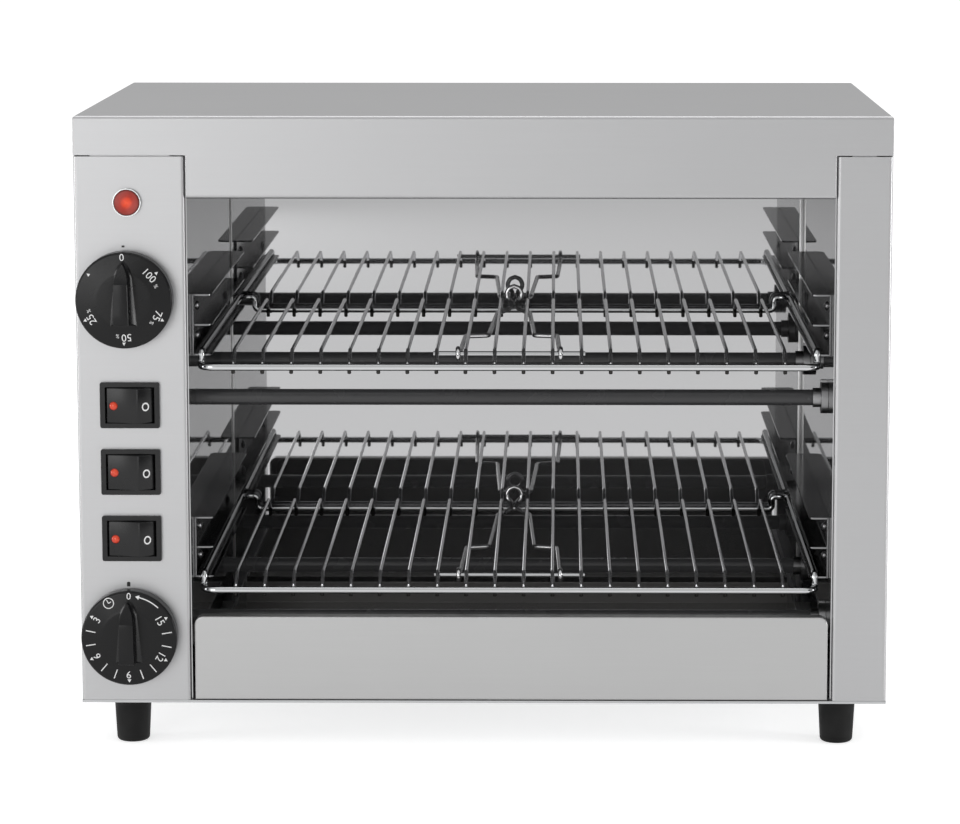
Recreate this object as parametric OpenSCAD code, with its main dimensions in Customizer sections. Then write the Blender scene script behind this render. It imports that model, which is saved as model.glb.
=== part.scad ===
// Two-level countertop cheese melter: stainless casing, mirror-lined open chamber,
// six quartz heating tubes, two chrome wire racks with folding handles, a crumb
// tray, and a control panel with lamp, power dial, three rockers and a timer.
//
// The pieces are drawn in the body's own frame: X to the right from the middle of
// the body, Y backwards from the face of the front panels, Z up from the table.

/* [Body] */
// Width of the body
body_w = 450; // [420:1:520]
// Depth of the body, front panels to rear panel
body_d = 280; // [276:1:320]
// Height of the body, underside to top
body_h = 329; // [326:1:380]
// Thickness of the casing sheet
sheet_t = 1; // [0.8:0.1:1.4]
// Outside radius of the folded casing edges
fold_r = 2; // [1.6:0.1:3]
// Width of the dark joint between two casing sheets
joint_gap = 0.6; // [0.3:0.1:1]
// Thickness of the base sheet
base_t = 1.4; // [1:0.1:2]

/* [Front] */
// Width of the control panel, body side to chamber edge
control_w = 61.2; // [58:0.1:70]
// Width of the right pillar, body side to chamber edge
pillar_w = 30.6; // [28:0.1:40]
// Height of the cover skirt over the panels
skirt_h = 21.7; // [18:0.1:26]
// Height of the cover apron over the chamber
apron_h = 45.6; // [36:0.1:48]
// Depth of the return folded behind the lower edge of the apron
apron_return = 14; // [6:0.5:20]

/* [Chamber] */
// Thickness of the mirror liner sheets
liner_t = 1; // [0.8:0.1:1.4]
// Space between the back liner and the rear panel
back_space = 12; // [10:0.5:16]
// Space between the top liner and the top of the cover
top_space = 24; // [20:0.5:26]
// Height of the heat shield above the top liner
shield_h = 10; // [6:0.5:12]

/* [Heaters] */
// Outer diameter of a quartz tube
tube_d = 9; // [7:0.1:10]
// Bore of a quartz tube
tube_bore = 6.6; // [5:0.1:6.8]
// Outer diameter of the heating coil
coil_d = 6.2; // [3:0.1:6.4]
// Front pair of tubes, distance behind the front panels
tube_front = 46; // [40:1:70]
// Rear pair of tubes, distance behind the front panels
tube_rear = 196; // [180:1:215]
// Height of the lowest tubes above the underside of the body
tube_up = 39.2; // [34:0.1:48]
// Depth of the top tubes below the top of the body
tube_down = 35.4; // [35:0.1:42]
// Diameter of the end disc against the right wall
cap_disc_d = 17.9; // [15:0.1:20]
// Thickness of the end disc
cap_disc_t = 3.8; // [2:0.1:6]
// Diameter of the end collar round the tube
collar_d = 10.9; // [10.6:0.1:13]
// Length of the end collar inside the chamber
collar_l = 4.6; // [2:0.1:8]

/* [Rails] */
// Distance of the rails behind the front panels
rail_front = 22; // [21:0.5:30]
// Length of a rail
rail_l = 216; // [190:1:220]
// Thickness of the rail sheet
rail_t = 1; // [0.8:0.1:1.4]
// Width of a rail flange
flange_w = 11; // [10:0.1:13]
// Height between two flanges of one rail
flange_pitch = 16.8; // [12:0.1:20]
// Lower rack track above the underside of the body
track_up = 68.1; // [64:0.1:74]
// How much closer the rack levels are than the tube levels
level_loss = 1; // [0:0.1:6]
// Head diameter of a rail screw
rail_screw_d = 5.4; // [4:0.1:7]

/* [Racks] */
// Diameter of the rack frame bars
bar_d = 4; // [3:0.1:5]
// Distance from the chamber wall to the middle of a side bar
bar_inset = 6.8; // [6:0.1:7.4]
// Sideways play of a rack, used up to the left
rack_shift = -1.2; // [-1.5:0.1:1.5]
// Space between the rear bar and the back liner
rear_bar_gap = 4; // [2:0.1:8]
// Drop of the front and rear bars below the side bars
bar_drop = 7.8; // [6:0.1:9]
// Radius of the rack corners seen from above
corner_r = 7; // [5:0.1:9]
// Number of cross wires
wire_count = 20; // [12:2:26]
// Diameter of the cross wires
wire_d = 2.2; // [1.6:0.1:2.6]
// Distance from a side bar to the nearest cross wire
wire_inset = 18.1; // [17:0.1:24]
// Depth over which a cross wire slants down at its end
wire_slant = 10; // [7:0.1:14]
// Length that a cross wire stands below the bar
wire_tail = 2.2; // [0.4:0.1:3]
// Running clearance of the racks and handles
rack_play = 0.1; // [0.05:0.01:0.2]

/* [Handles] */
// Diameter of the handle wire
handle_d = 2.8; // [2:0.1:3]
// Diameter of the hinge bar welded under the cross wires
hinge_d = 2.7; // [2:0.1:3.2]
// Length of the hinge bar
hinge_l = 85; // [80:1:100]
// Middle of the hinge bar behind the front panels
hinge_y = 27; // [26:0.5:34]
// Half distance between the two hinge eyes
eye_x = 28.4; // [27.6:0.1:32]
// Length of the handle, hinge bar to finger loop
handle_l = 216; // [200:1:220]
// Half width of the handle behind its shoulders
neck_x = 12; // [9:0.1:16]
// Shoulders of the handle behind the front panels
shoulder_y = 122; // [90:1:140]
// Width of the finger loop
loop_w = 12; // [11:0.1:13]
// Height of the finger loop above the handle
loop_h = 15; // [14:0.1:18]

/* [Crumb tray] */
// Height of the tray front
tray_front_h = 47; // [36:0.5:52]
// Gap between the tray front and the chamber edges
tray_gap = 1.8; // [1:0.1:3]
// Gap under the tray front
tray_under = 0.7; // [0.4:0.1:1.5]
// Radius of the upper corners of the tray front
tray_corner_r = 4.6; // [2:0.1:8]
// Depth of the returns folded behind the tray front
tray_return = 8; // [4:0.5:8]
// Thickness of the tray sheet
tray_t = 1; // [0.8:0.1:1.2]
// Height of the side walls of the tray pan
pan_wall_h = 14; // [8:0.5:20]
// Space between the tray pan and the chamber walls
pan_side_gap = 7; // [4:0.5:12]

/* [Controls] */
// Lamp and rocker axis from the left side of the body
control_x = 29.4; // [28:0.1:31]
// Dial axis from the left side of the body
dial_side = 27.8; // [27.6:0.1:31]
// Lamp below the top of the body
lamp_down = 47.6; // [45:0.1:49]
// Power dial below the top of the body
power_down = 100.8; // [98:0.1:104]
// Part of the spare height between the dials that lies below the rockers
rocker_share = 0.438; // [0.3:0.001:0.7]
// Height between two rockers
rocker_pitch = 37.5; // [36:0.1:39]
// Timer dial above the underside of the body
timer_up = 38.8; // [36:0.1:44]
// Diameter of a dial skirt
dial_d = 53.4; // [46:0.1:54]
// Thickness of a dial skirt
dial_t = 9; // [6:0.1:12]
// Gap between a dial and the panel
dial_gap = 1.2; // [0.6:0.1:2]
// Height of the dial grip above its skirt
grip_h = 14; // [8:0.1:18]
// Width of the dial grip
grip_w = 13.6; // [10:0.1:16]
// Length of the dial grip
grip_l = 36; // [28:0.1:40]
// Diameter of a dial spindle
spindle_d = 6; // [5:0.1:7]
// Clearance round a spindle in its bush
spindle_play = 0.05; // [0.02:0.01:0.09]
// Diameter of the lamp ring
lamp_d = 15.6; // [13:0.1:18]
// Width and height of the power regulator behind the panel
regulator_w = 38; // [32:0.5:40]
// Depth of the power regulator
regulator_l = 34; // [24:0.5:40]
// Width and height of the timer movement behind the panel
movement_w = 48; // [40:0.5:50]
// Depth of the timer movement
movement_l = 26; // [20:0.5:34]

/* [Rockers] */
// Width of a rocker bezel
bezel_w = 33; // [32:0.1:36]
// Height of a rocker bezel
bezel_h = 25.6; // [25:0.1:30]
// Thickness of a rocker bezel
bezel_t = 2; // [1.4:0.1:2.6]
// Width of a rocker
rocker_w = 24.6; // [23:0.1:25]
// Height of a rocker
rocker_h = 19.6; // [16:0.1:20]
// Pivot of a rocker behind the panel face
rocker_pivot = 1; // [0.6:0.1:1.4]

/* [Feet and inlet] */
// Height of a foot
foot_h = 26; // [20:0.5:34]
// Upper diameter of a foot
foot_top_d = 21; // [18:0.1:28]
// Lower diameter of a foot
foot_bottom_d = 18.5; // [16:0.1:24]
// Middle of a foot from the side of the body
foot_side = 26; // [18:0.5:40]
// Middle of a foot from the front and rear of the body
foot_end = 21; // [18:0.5:40]
// Cable inlet above the underside of the body
inlet_up = 32; // [24:0.5:40]
// Bore of the cable inlet
inlet_bore = 8; // [6:0.1:9]
// Length of the cable inlet behind the rear panel
inlet_l = 10; // [6:0.5:14]

/* [Hidden] */
$fn = 48;

// bead at a sharp bend of a wire, against the wire's own diameter
bead = 1.02;
// clearance between two sheets that lie on each other
fit = 0.1;
far = 1000;

// heights above the table
base_z = foot_h;
top_z = foot_h + body_h;
floor_z = base_z + base_t;
skirt_z = top_z - skirt_h;
apron_z = top_z - apron_h;
casing_z0 = floor_z + fit;
casing_z1 = skirt_z - joint_gap;
ceiling_z = top_z - top_space;

// chamber walls, seen faces
left_x = -body_w / 2;
right_x = body_w / 2;
wall_left = left_x + control_w + joint_gap;
wall_right = right_x - pillar_w - joint_gap;
wall_mid = (wall_left + wall_right) / 2;
wall_half = (wall_right - wall_left) / 2;
back_y = body_d - sheet_t - back_space;
fold_back = 3;
liner_y0 = fold_back + fit;

// middle of the whole product in depth, dials and inlet counted
dial_front = -(dial_gap + dial_t + grip_h);
front_y = -(body_d + inlet_l + dial_front) / 2;

// racks, at their lower level
rack_x = wall_mid + rack_shift;
rack_half = wall_half - bar_inset;
track_z = base_z + track_up;
tube_pitch = (body_h - tube_up - tube_down) / 2;
level_pitch = tube_pitch - level_loss;
bar_z = track_z + bar_d / 2 + rack_play;
low_z = bar_z - bar_drop;
elbow_r = bar_d / 2 + 0.4;
drop_y = rail_front - elbow_r;
front_bar_y = drop_y - elbow_r - corner_r;
rear_bar_y = back_y - rear_bar_gap - bar_d / 2;
flange_clear = wall_half - fit - flange_w - abs(rack_shift) - bar_d / 2 - 1;
rear_half = min(rack_half - corner_r - elbow_r, flange_clear) - 0.5;
wire_half = rack_half - wire_inset;
wire_step = 2 * wire_half / (wire_count - 1);
hinge_z = bar_z - wire_d / 2 - hinge_d / 2 - rack_play / 2;
eye_r = hinge_d / 2 + rack_play + handle_d / 2;
arm_z = hinge_z - eye_r;
loop_y = hinge_y + handle_l;

// controls
axis_x = left_x + control_x;
dial_x = left_x + dial_side;
lamp_z = top_z - lamp_down;
power_z = top_z - power_down;
timer_z = base_z + timer_up;
rockers_h = 2 * rocker_pitch + bezel_h;
spare_h = power_z - timer_z - dial_d - rockers_h;
rocker_z = timer_z + dial_d / 2 + rocker_share * spare_h + bezel_h / 2;
pocket_w = rocker_w + 2.8;
pocket_h = rocker_h + 0.6;
pocket_y = 9;
pin_d = 2.4;
switch_w = bezel_w - 3;
switch_h = pocket_h + 2.8;
switch_l = 22;
lens_d = 5;

// tray
tray_z0 = floor_z + tray_under;
tray_half = wall_half - tray_gap;
pan_half = wall_half - pan_side_gap;
pan_z = floor_z + 0.3;
pan_back = back_y - 8;

// small repeated sizes
vent_w = 36;
vent_h = 4;
vent_step = 11;
gland_y = body_d - sheet_t;
screw_d = 4;

tube_ys = [tube_front, tube_rear];
tube_zs = [for (level = [0:2]) base_z + tube_up + level * tube_pitch];
levels = [0, level_pitch];
rail_screw_ys = [rail_front + 21, rail_front + rail_l - 27];
foot_ys = [foot_end, body_d - foot_end];
foot_xs = [left_x + foot_side, right_x - foot_side];
rear_screw_side = 7;
rear_screw_zs = [casing_z0 + 12, (casing_z0 + casing_z1) / 2, casing_z1 - 12];
rear_screws_at =
    [for (x = [left_x + rear_screw_side, right_x - rear_screw_side], z = rear_screw_zs) [x, z]];

// ---------------------------------------------------------------- helpers

module placed() translate([0, front_y, 0]) children();

// block between two opposite corners
module block(a, b) translate(a) cube(b - a);

// straight rod from a to b
module rod(a, b, d) {
    v = b - a;
    translate(a)
        rotate([0, acos(v.z / norm(v)), atan2(v.y, v.x)])
            cylinder(h = norm(v), d = d);
}

// bent wire through the points, with a slightly wider bead in each bend
module wire_path(points, d) {
    last = len(points) - 1;
    for (i = [0:last - 1]) rod(points[i], points[i + 1], d);
    if (last > 1)
        for (i = [1:last - 1]) translate(points[i]) sphere(d = d * bead);
}

// bend of a wire round a centre, in the XY plane
module wire_bend(r, d, start, sweep = 90)
    rotate([0, 0, start]) rotate_extrude(angle = sweep) translate([r, 0]) circle(d = d);

// straight and bent pieces of a flat wire: runs along Y joined by runs along X,
// through the points, with quarter bends of radius r that start where a run ends
module square_wire(points, d, r) {
    last = len(points) - 1;
    for (i = [0:last - 1]) {
        u = (points[i + 1] - points[i]) / norm(points[i + 1] - points[i]);
        a = points[i] + u * (i == 0 ? 0 : r);
        b = points[i + 1] - u * (i == last - 1 ? 0 : r);
        rod([a.x, a.y, 0], [b.x, b.y, 0], d);
        if (i < last - 1) {
            v = (points[i + 2] - points[i + 1]) / norm(points[i + 2] - points[i + 1]);
            left = u.x * v.y - u.y * v.x > 0;
            start = atan2(-v.y, -v.x);
            translate(b + v * r) wire_bend(r, d, left ? start : start - 90);
        }
    }
}

// rectangle with its corners rounded, centred
module round_rect(w, h, r) {
    square([w - 2 * r, h], center = true);
    square([w, h - 2 * r], center = true);
    for (x = [-1, 1], y = [-1, 1])
        translate([x * (w / 2 - r), y * (h / 2 - r)]) circle(r);
}

// axis along Y, pointing backwards from y
module along_y(y) translate([0, y, 0]) rotate([-90, 0, 0]) children();

// sheet folded along two edges: an L seen from above, open to the inside
module folded_corner(w, d, t, r) {
    difference() {
        union() {
            translate([r, 0]) square([w - r, d]);
            translate([0, r]) square([w, d - r]);
            translate([r, r]) circle(r);
        }
        translate([r, t]) square([far, far]);
        translate([t, r]) square([far, far]);
        translate([r, r]) circle(r - t);
    }
}

// ---------------------------------------------------------------- casing

// block with its four upper edges rounded
module rounded_top(w, d, z0, z1, r) {
    intersection() {
        translate([0, d, 0]) rotate([90, 0, 0]) linear_extrude(d) {
            translate([-w / 2, z0]) square([w, z1 - z0 - r]);
            translate([-w / 2 + r, z0]) square([w - 2 * r, z1 - z0]);
            for (x = [-1, 1]) translate([x * (w / 2 - r), z1 - r]) circle(r);
        }
        translate([-w / 2, 0, 0]) rotate([90, 0, 90]) linear_extrude(w) {
            translate([0, z0]) square([d, z1 - z0 - r]);
            translate([r, z0]) square([d - 2 * r, z1 - z0]);
            for (y = [r, d - r]) translate([y, z1 - r]) circle(r);
        }
    }
}

module top_cover() color("gainsboro") placed() {
    apron_x0 = wall_left + fit;
    apron_w = wall_right - wall_left - 2 * fit;
    difference() {
        rounded_top(body_w, body_d, skirt_z, top_z, fold_r);
        translate([0, sheet_t, 0])
            rounded_top(body_w - 2 * sheet_t, body_d - 2 * sheet_t,
                skirt_z - 1, top_z - sheet_t, fold_r - sheet_t);
    }
    // apron over the chamber, folded back along its lower edge
    translate([apron_x0, 0, 0]) rotate([90, 0, 90]) linear_extrude(apron_w)
        difference() {
            union() {
                translate([0, apron_z + fold_r]) square([sheet_t, skirt_z - apron_z - fold_r + 1]);
                translate([fold_r, apron_z]) square([apron_return - fold_r, sheet_t]);
                translate([fold_r, apron_z + fold_r]) circle(fold_r);
            }
            translate([fold_r, apron_z + fold_r]) circle(fold_r - sheet_t);
            translate([sheet_t, apron_z + fold_r]) square(far);
            translate([fold_r, apron_z + sheet_t]) square(far);
        }
}

// one casing half: front panel, side wall and rear flange from one sheet, with
// tabs that hold the cover skirt from inside; drawn for the left side
module casing(panel_w) {
    z0 = casing_z0;
    h = casing_z1 - casing_z0;
    rear_y = body_d - sheet_t - fit;
    translate([left_x, 0, z0]) linear_extrude(h) {
        intersection() {
            folded_corner(far, far, sheet_t, fold_r);
            square([panel_w - fold_r, rear_y]);
        }
        // edge folded towards the chamber
        translate([panel_w, 0]) mirror([1, 0])
            intersection() {
                folded_corner(far, far, sheet_t, fold_r);
                square([fold_r + 1, fold_back]);
            }
    }
    // flange that carries the rear panel
    difference() {
        block([left_x + sheet_t / 2, rear_y - sheet_t, z0],
            [left_x + rear_screw_side + 5, rear_y, casing_z1]);
        for (z = rear_screw_zs)
            translate([left_x + rear_screw_side, 0, z]) along_y(rear_y - 5)
                cylinder(h = 10, d = screw_d - 1 + 2 * fit);
    }
    tab_h = 16;
    tab_z = casing_z1 - tab_h / 2;
    tab_x = left_x + sheet_t;
    block([tab_x - 0.3, 20, tab_z], [tab_x + fit + sheet_t, body_d - 20, casing_z1]);
    block([tab_x + fit, 20, tab_z], [tab_x + fit + sheet_t, body_d - 20, tab_z + tab_h]);
    block([tab_x + 8, sheet_t - 0.3, tab_z],
        [left_x + panel_w - 8, sheet_t + fit + sheet_t, casing_z1]);
    block([tab_x + 8, sheet_t + fit, tab_z],
        [left_x + panel_w - 8, sheet_t + fit + sheet_t, tab_z + tab_h]);
}

module left_casing() color("lightgray") placed()
    difference() {
        casing(control_w);
        translate([axis_x, 0, lamp_z]) along_y(-1) cylinder(h = 6, d = lamp_neck_d + 2 * fit);
        for (z = [power_z, timer_z])
            translate([dial_x, 0, z]) along_y(-1) cylinder(h = 4, d = spindle_d + 2.4);
        for (i = [0:2])
            translate([axis_x, 1, rocker_z + i * rocker_pitch])
                cube([switch_w + 2 * fit, 6, switch_h + 2 * fit], center = true);
    }

module right_casing() color("lightgray") placed() mirror([1, 0, 0]) casing(pillar_w);

module base_pan() color("silver") placed() {
    inset = sheet_t + fit;
    wall_h = 12;
    difference() {
        union() {
            block([left_x, 0, base_z], [right_x, body_d - sheet_t - fit, floor_z]);
            for (x = [left_x + inset, right_x - inset - sheet_t])
                block([x, 30, base_z], [x + sheet_t, body_d - 30, floor_z + wall_h]);
            block([left_x + 20, body_d - 2 * inset - 2 * sheet_t, base_z],
                [right_x - 20, body_d - 2 * inset - sheet_t, floor_z + wall_h]);
        }
        for (x = foot_xs, y = foot_ys)
            translate([x, y, base_z - 1]) cylinder(h = base_t + 2, d = screw_d + 2 * fit);
        // cooling slots under the two side bays
        for (x = [left_x + control_w / 2, right_x - pillar_w / 2], i = [0:11])
            translate([x, foot_end + 40 + i * 16, base_z - 1])
                linear_extrude(base_t + 2) round_rect(pillar_w / 2, 4, 1.9);
    }
}

// rounded horizontal slots, one above the other, through the rear panel
module vent_rows(x, z, count, w)
    for (i = [0:count - 1])
        translate([x, 0, z + i * vent_step]) along_y(body_d - sheet_t - 1)
            linear_extrude(sheet_t + 2) round_rect(w, vent_h, vent_h / 2 - 0.1);

module rear_panel() color("lightgray") placed()
    difference() {
        block([left_x, body_d - sheet_t, casing_z0], [right_x, body_d, casing_z1]);
        vent_rows(axis_x, base_z + 96, 16, vent_w);
        vent_rows(right_x - pillar_w, base_z + 96, 16, vent_w);
        for (x = [-70, 0, 70]) vent_rows(x, base_z + 230, 5, vent_w);
        translate([axis_x, 0, base_z + inlet_up]) along_y(body_d - 5)
            cylinder(h = 10, d = gland_neck_d + 2 * fit);
        for (p = rear_screws_at)
            translate([p.x, 0, p.y]) along_y(body_d - 5) cylinder(h = 10, d = screw_d - 1 + 2 * fit);
    }

// ---------------------------------------------------------------- chamber

// side liner, drawn with its seen face at x = 0 and its sheet towards -x
module side_liner(hole_d) {
    difference() {
        block([-liner_t, liner_y0, casing_z0], [0, back_y, ceiling_z - fit]);
        for (y = tube_ys, z = tube_zs)
            translate([-liner_t - 1, y, z]) rotate([0, 90, 0]) cylinder(h = liner_t + 2, d = hole_d);
        for (y = rail_screw_ys, z = rail_screw_zs())
            translate([-liner_t - 1, y, z]) rotate([0, 90, 0])
                cylinder(h = liner_t + 2, d = 3 + 2 * fit);
    }
}

module liner_left() color("silver") placed()
    translate([wall_left, 0, 0]) side_liner(tube_d + 1);

module liner_right() color("silver") placed()
    translate([wall_right, 0, 0]) mirror([1, 0, 0]) side_liner(collar_d + 1);

module liner_back() color("silver") placed()
    block([wall_left - liner_t, back_y + fit, casing_z0],
        [wall_right + liner_t, back_y + fit + liner_t, ceiling_z - fit]);

module liner_top() color("silver") placed() {
    block([wall_left - liner_t, liner_y0, ceiling_z],
        [wall_right + liner_t, back_y + fit + liner_t, ceiling_z + liner_t]);
    // front edge folded up behind the apron
    block([wall_left - liner_t, liner_y0, ceiling_z],
        [wall_right + liner_t, liner_y0 + liner_t, ceiling_z + 8]);
}

// hat-shaped sheet that keeps the heat of the top tubes off the cover
module heat_shield() color("darkgray") placed() {
    z = ceiling_z + liner_t + fit;
    x0 = wall_left + 14;
    x1 = wall_right - 14;
    translate([0, back_y - 14, 0]) rotate([90, 0, 0]) linear_extrude(back_y - 40)
        difference() {
            union() {
                translate([x0, z]) square([x1 - x0, shield_h]);
                for (x = [x0 - 10, x1 - 2]) translate([x, z]) square([12, sheet_t]);
            }
            translate([x0 + sheet_t, z - 1]) square([x1 - x0 - 2 * sheet_t, shield_h + 1 - sheet_t]);
        }
}

// ---------------------------------------------------------------- heaters

tube_x0 = wall_left - liner_t - 12;
tube_x1 = wall_right + liner_t + 12;

module heater_tube(y, z) color("dimgray") placed()
    translate([tube_x0, y, z]) rotate([0, 90, 0])
        difference() {
            cylinder(h = tube_x1 - tube_x0, d = tube_d);
            translate([0, 0, -1]) cylinder(h = tube_x1 - tube_x0 + 2, d = tube_bore);
        }

module heater_top_front() heater_tube(tube_front, tube_zs[2]);
module heater_top_rear() heater_tube(tube_rear, tube_zs[2]);
module heater_middle_front() heater_tube(tube_front, tube_zs[1]);
module heater_middle_rear() heater_tube(tube_rear, tube_zs[1]);
module heater_bottom_front() heater_tube(tube_front, tube_zs[0]);
module heater_bottom_rear() heater_tube(tube_rear, tube_zs[0]);

pin_out = 8;
cap_end = 3;

// envelope of each heating coil with its two terminal pins
module heater_coils() color("peru") placed()
    for (y = tube_ys, z = tube_zs)
        translate([tube_x0, y, z]) rotate([0, 90, 0]) {
            translate([0, 0, 4]) cylinder(h = tube_x1 - tube_x0 - 8, d = coil_d);
            translate([0, 0, -cap_end - pin_out])
                cylinder(h = tube_x1 - tube_x0 + 2 * (cap_end + pin_out), d = 2);
        }

// cup that holds a tube end behind the wall; mouth at z = 0, opening downwards
module cap_cup(outer, depth)
    difference() {
        cylinder(h = depth + cap_end, d = outer);
        translate([0, 0, -1]) cylinder(h = depth + 1 + fit, d = tube_d + 2 * fit);
        cylinder(h = depth + cap_end + 1, d = 2 + 2 * fit);
    }

module heater_caps_left() color("ivory") placed()
    for (y = tube_ys, z = tube_zs)
        translate([wall_left - liner_t - fit, y, z]) rotate([0, -90, 0])
            cap_cup(cap_disc_d - 2, 12 - fit);

// disc and collar in the chamber, neck through the wall, cup in the right bay
module heater_caps_right() color("ivory") placed()
    for (y = tube_ys, z = tube_zs)
        translate([wall_right, y, z]) rotate([0, 90, 0]) {
            difference() {
                union() {
                    translate([0, 0, -cap_disc_t - fit]) cylinder(h = cap_disc_t, d = cap_disc_d);
                    translate([0, 0, -cap_disc_t - collar_l]) cylinder(h = collar_l + 1, d = collar_d);
                    translate([0, 0, -1]) cylinder(h = 13 + liner_t + cap_end, d = collar_d + 0.4);
                    translate([0, 0, liner_t + fit]) cylinder(h = 12 - fit + cap_end, d = cap_disc_d - 2);
                }
                translate([0, 0, -20])
                    cylinder(h = 20 + liner_t + 12 + fit, d = tube_d + 2 * fit);
                translate([0, 0, 1]) cylinder(h = 40, d = 2 + 2 * fit);
            }
            // locating nub on top of the disc
            translate([-cap_disc_d / 2 - 1.2, -1.5, -cap_disc_t - fit]) cube([3, 3, cap_disc_t]);
        }

// ---------------------------------------------------------------- rails

function rail_screw_zs() =
    [for (level = levels, i = [0:1]) track_z - rail_t / 2 + level + (i + 0.5) * flange_pitch];

// flange seen from above: wall at x = 0, outer corners rounded
module flange_shape() {
    front_r = 3;
    rear_r = 4.5;
    difference() {
        square([flange_w, rail_l]);
        translate([flange_w - front_r, -1]) square([far, front_r + 1]);
        translate([flange_w - rear_r, rail_l - rear_r]) square([far, far]);
    }
    translate([flange_w - front_r, front_r]) circle(front_r);
    translate([flange_w - rear_r, rail_l - rear_r]) circle(rear_r);
}

// E-shaped rail, drawn against a wall at x = 0
module rail(z) {
    plate_h = 2 * flange_pitch + rail_t;
    difference() {
        translate([fit, rail_front, z]) {
            cube([rail_t, rail_l, plate_h]);
            for (i = [0:2]) translate([0, 0, i * flange_pitch]) linear_extrude(rail_t) flange_shape();
        }
        for (y = rail_screw_ys, i = [0:1])
            translate([-1, y, z + rail_t / 2 + (i + 0.5) * flange_pitch])
                rotate([0, 90, 0]) cylinder(h = 4, d = 3 + 2 * fit);
    }
}

module rail_left(level) color("silver") placed()
    translate([wall_left, 0, 0]) rail(track_z - rail_t + level);

module rail_right(level) color("silver") placed()
    translate([wall_right, 0, 0]) mirror([1, 0, 0]) rail(track_z - rail_t + level);

module rail_upper_left() rail_left(level_pitch);
module rail_upper_right() rail_right(level_pitch);
module rail_lower_left() rail_left(0);
module rail_lower_right() rail_right(0);

// domed screw along X: head under z = 0, shank upwards
module dome_screw(head_d, head_h, shank_d, shank_l) {
    rotate_extrude() intersection() {
        translate([0, (head_d * head_d / 4 - head_h * head_h) / (2 * head_h)])
            circle(r = (head_d * head_d / 4 + head_h * head_h) / (2 * head_h), $fn = 96);
        translate([0, -head_h]) square([head_d / 2, head_h]);
    }
    cylinder(h = shank_l, d = shank_d);
}

module rail_screws() color("silver") placed()
    for (side = [0, 1], y = rail_screw_ys, z = rail_screw_zs())
        translate([side == 0 ? wall_left : wall_right, y, z])
            mirror([side, 0, 0])
                translate([fit + rail_t, 0, 0]) rotate([0, -90, 0])
                    dome_screw(rail_screw_d, 1.6, 3, rail_t + liner_t + 3);

// ---------------------------------------------------------------- racks

// rack frame at its level: side bars on the track, front and rear bars lower,
// every bend a true arc that starts where the last piece ends
module rack_frame(level) color("gainsboro") placed() translate([rack_x, 0, level]) {
    low_bend_z = low_z + elbow_r;
    high_bend_z = bar_z - elbow_r;
    corner_x = rack_half - corner_r;
    rear_corner = rear_bar_y - corner_r;
    for (side = [0, 1]) mirror([side, 0, 0]) {
        rod([rack_half, rail_front, bar_z], [rack_half, rear_corner, bar_z], bar_d);
        // down in front of the rail, then round to the front bar
        translate([rack_half, rail_front, high_bend_z]) rotate([90, 0, 90])
            wire_bend(elbow_r, bar_d, 90);
        rod([rack_half, drop_y, low_bend_z], [rack_half, drop_y, high_bend_z], bar_d);
        translate([rack_half, drop_y - elbow_r, low_bend_z]) rotate([90, 0, 90])
            wire_bend(elbow_r, bar_d, 270);
        translate([corner_x, drop_y - elbow_r, low_z]) wire_bend(corner_r, bar_d, 270);
        // the rear corner stays on the track and drops between the flanges
        translate([corner_x, rear_corner, bar_z]) wire_bend(corner_r, bar_d, 0);
        rod([rear_half + elbow_r, rear_bar_y, bar_z], [corner_x, rear_bar_y, bar_z], bar_d);
        translate([rear_half + elbow_r, rear_bar_y, high_bend_z]) rotate([90, 0, 0])
            wire_bend(elbow_r, bar_d, 90);
        rod([rear_half, rear_bar_y, low_bend_z], [rear_half, rear_bar_y, high_bend_z], bar_d);
        translate([rear_half - elbow_r, rear_bar_y, low_bend_z]) rotate([90, 0, 0])
            wire_bend(elbow_r, bar_d, 270);
    }
    rod([-corner_x, front_bar_y, low_z], [corner_x, front_bar_y, low_z], bar_d);
    rod([elbow_r - rear_half, rear_bar_y, low_z], [rear_half - elbow_r, rear_bar_y, low_z], bar_d);
}

module upper_rack_frame() rack_frame(level_pitch);
module lower_rack_frame() rack_frame(0);

// cross wires: level over the rack, slanting down behind the front and rear bars
module rack_wires(level) color("gainsboro") placed() translate([rack_x, 0, level]) {
    beside = bar_d / 2 + wire_d / 2 + 0.05;
    y0 = front_bar_y + beside;
    y1 = rear_bar_y - beside;
    tail_z = low_z - bar_d / 2 - wire_tail;
    knee_z = low_z + 0.5;
    for (i = [0:wire_count - 1]) {
        x = -wire_half + i * wire_step;
        wire_path([[x, y0, tail_z], [x, y0, knee_z], [x, y0 + wire_slant, bar_z],
            [x, y1 - wire_slant, bar_z], [x, y1, knee_z], [x, y1, tail_z]], wire_d);
    }
}

module upper_rack_wires() rack_wires(level_pitch);
module lower_rack_wires() rack_wires(0);

module hinge_bar(level) color("gainsboro") placed()
    translate([rack_x, hinge_y, hinge_z + level]) rotate([0, 90, 0])
        cylinder(h = hinge_l, d = hinge_d, center = true);

module upper_hinge_bar() hinge_bar(level_pitch);
module lower_hinge_bar() hinge_bar(0);

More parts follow.
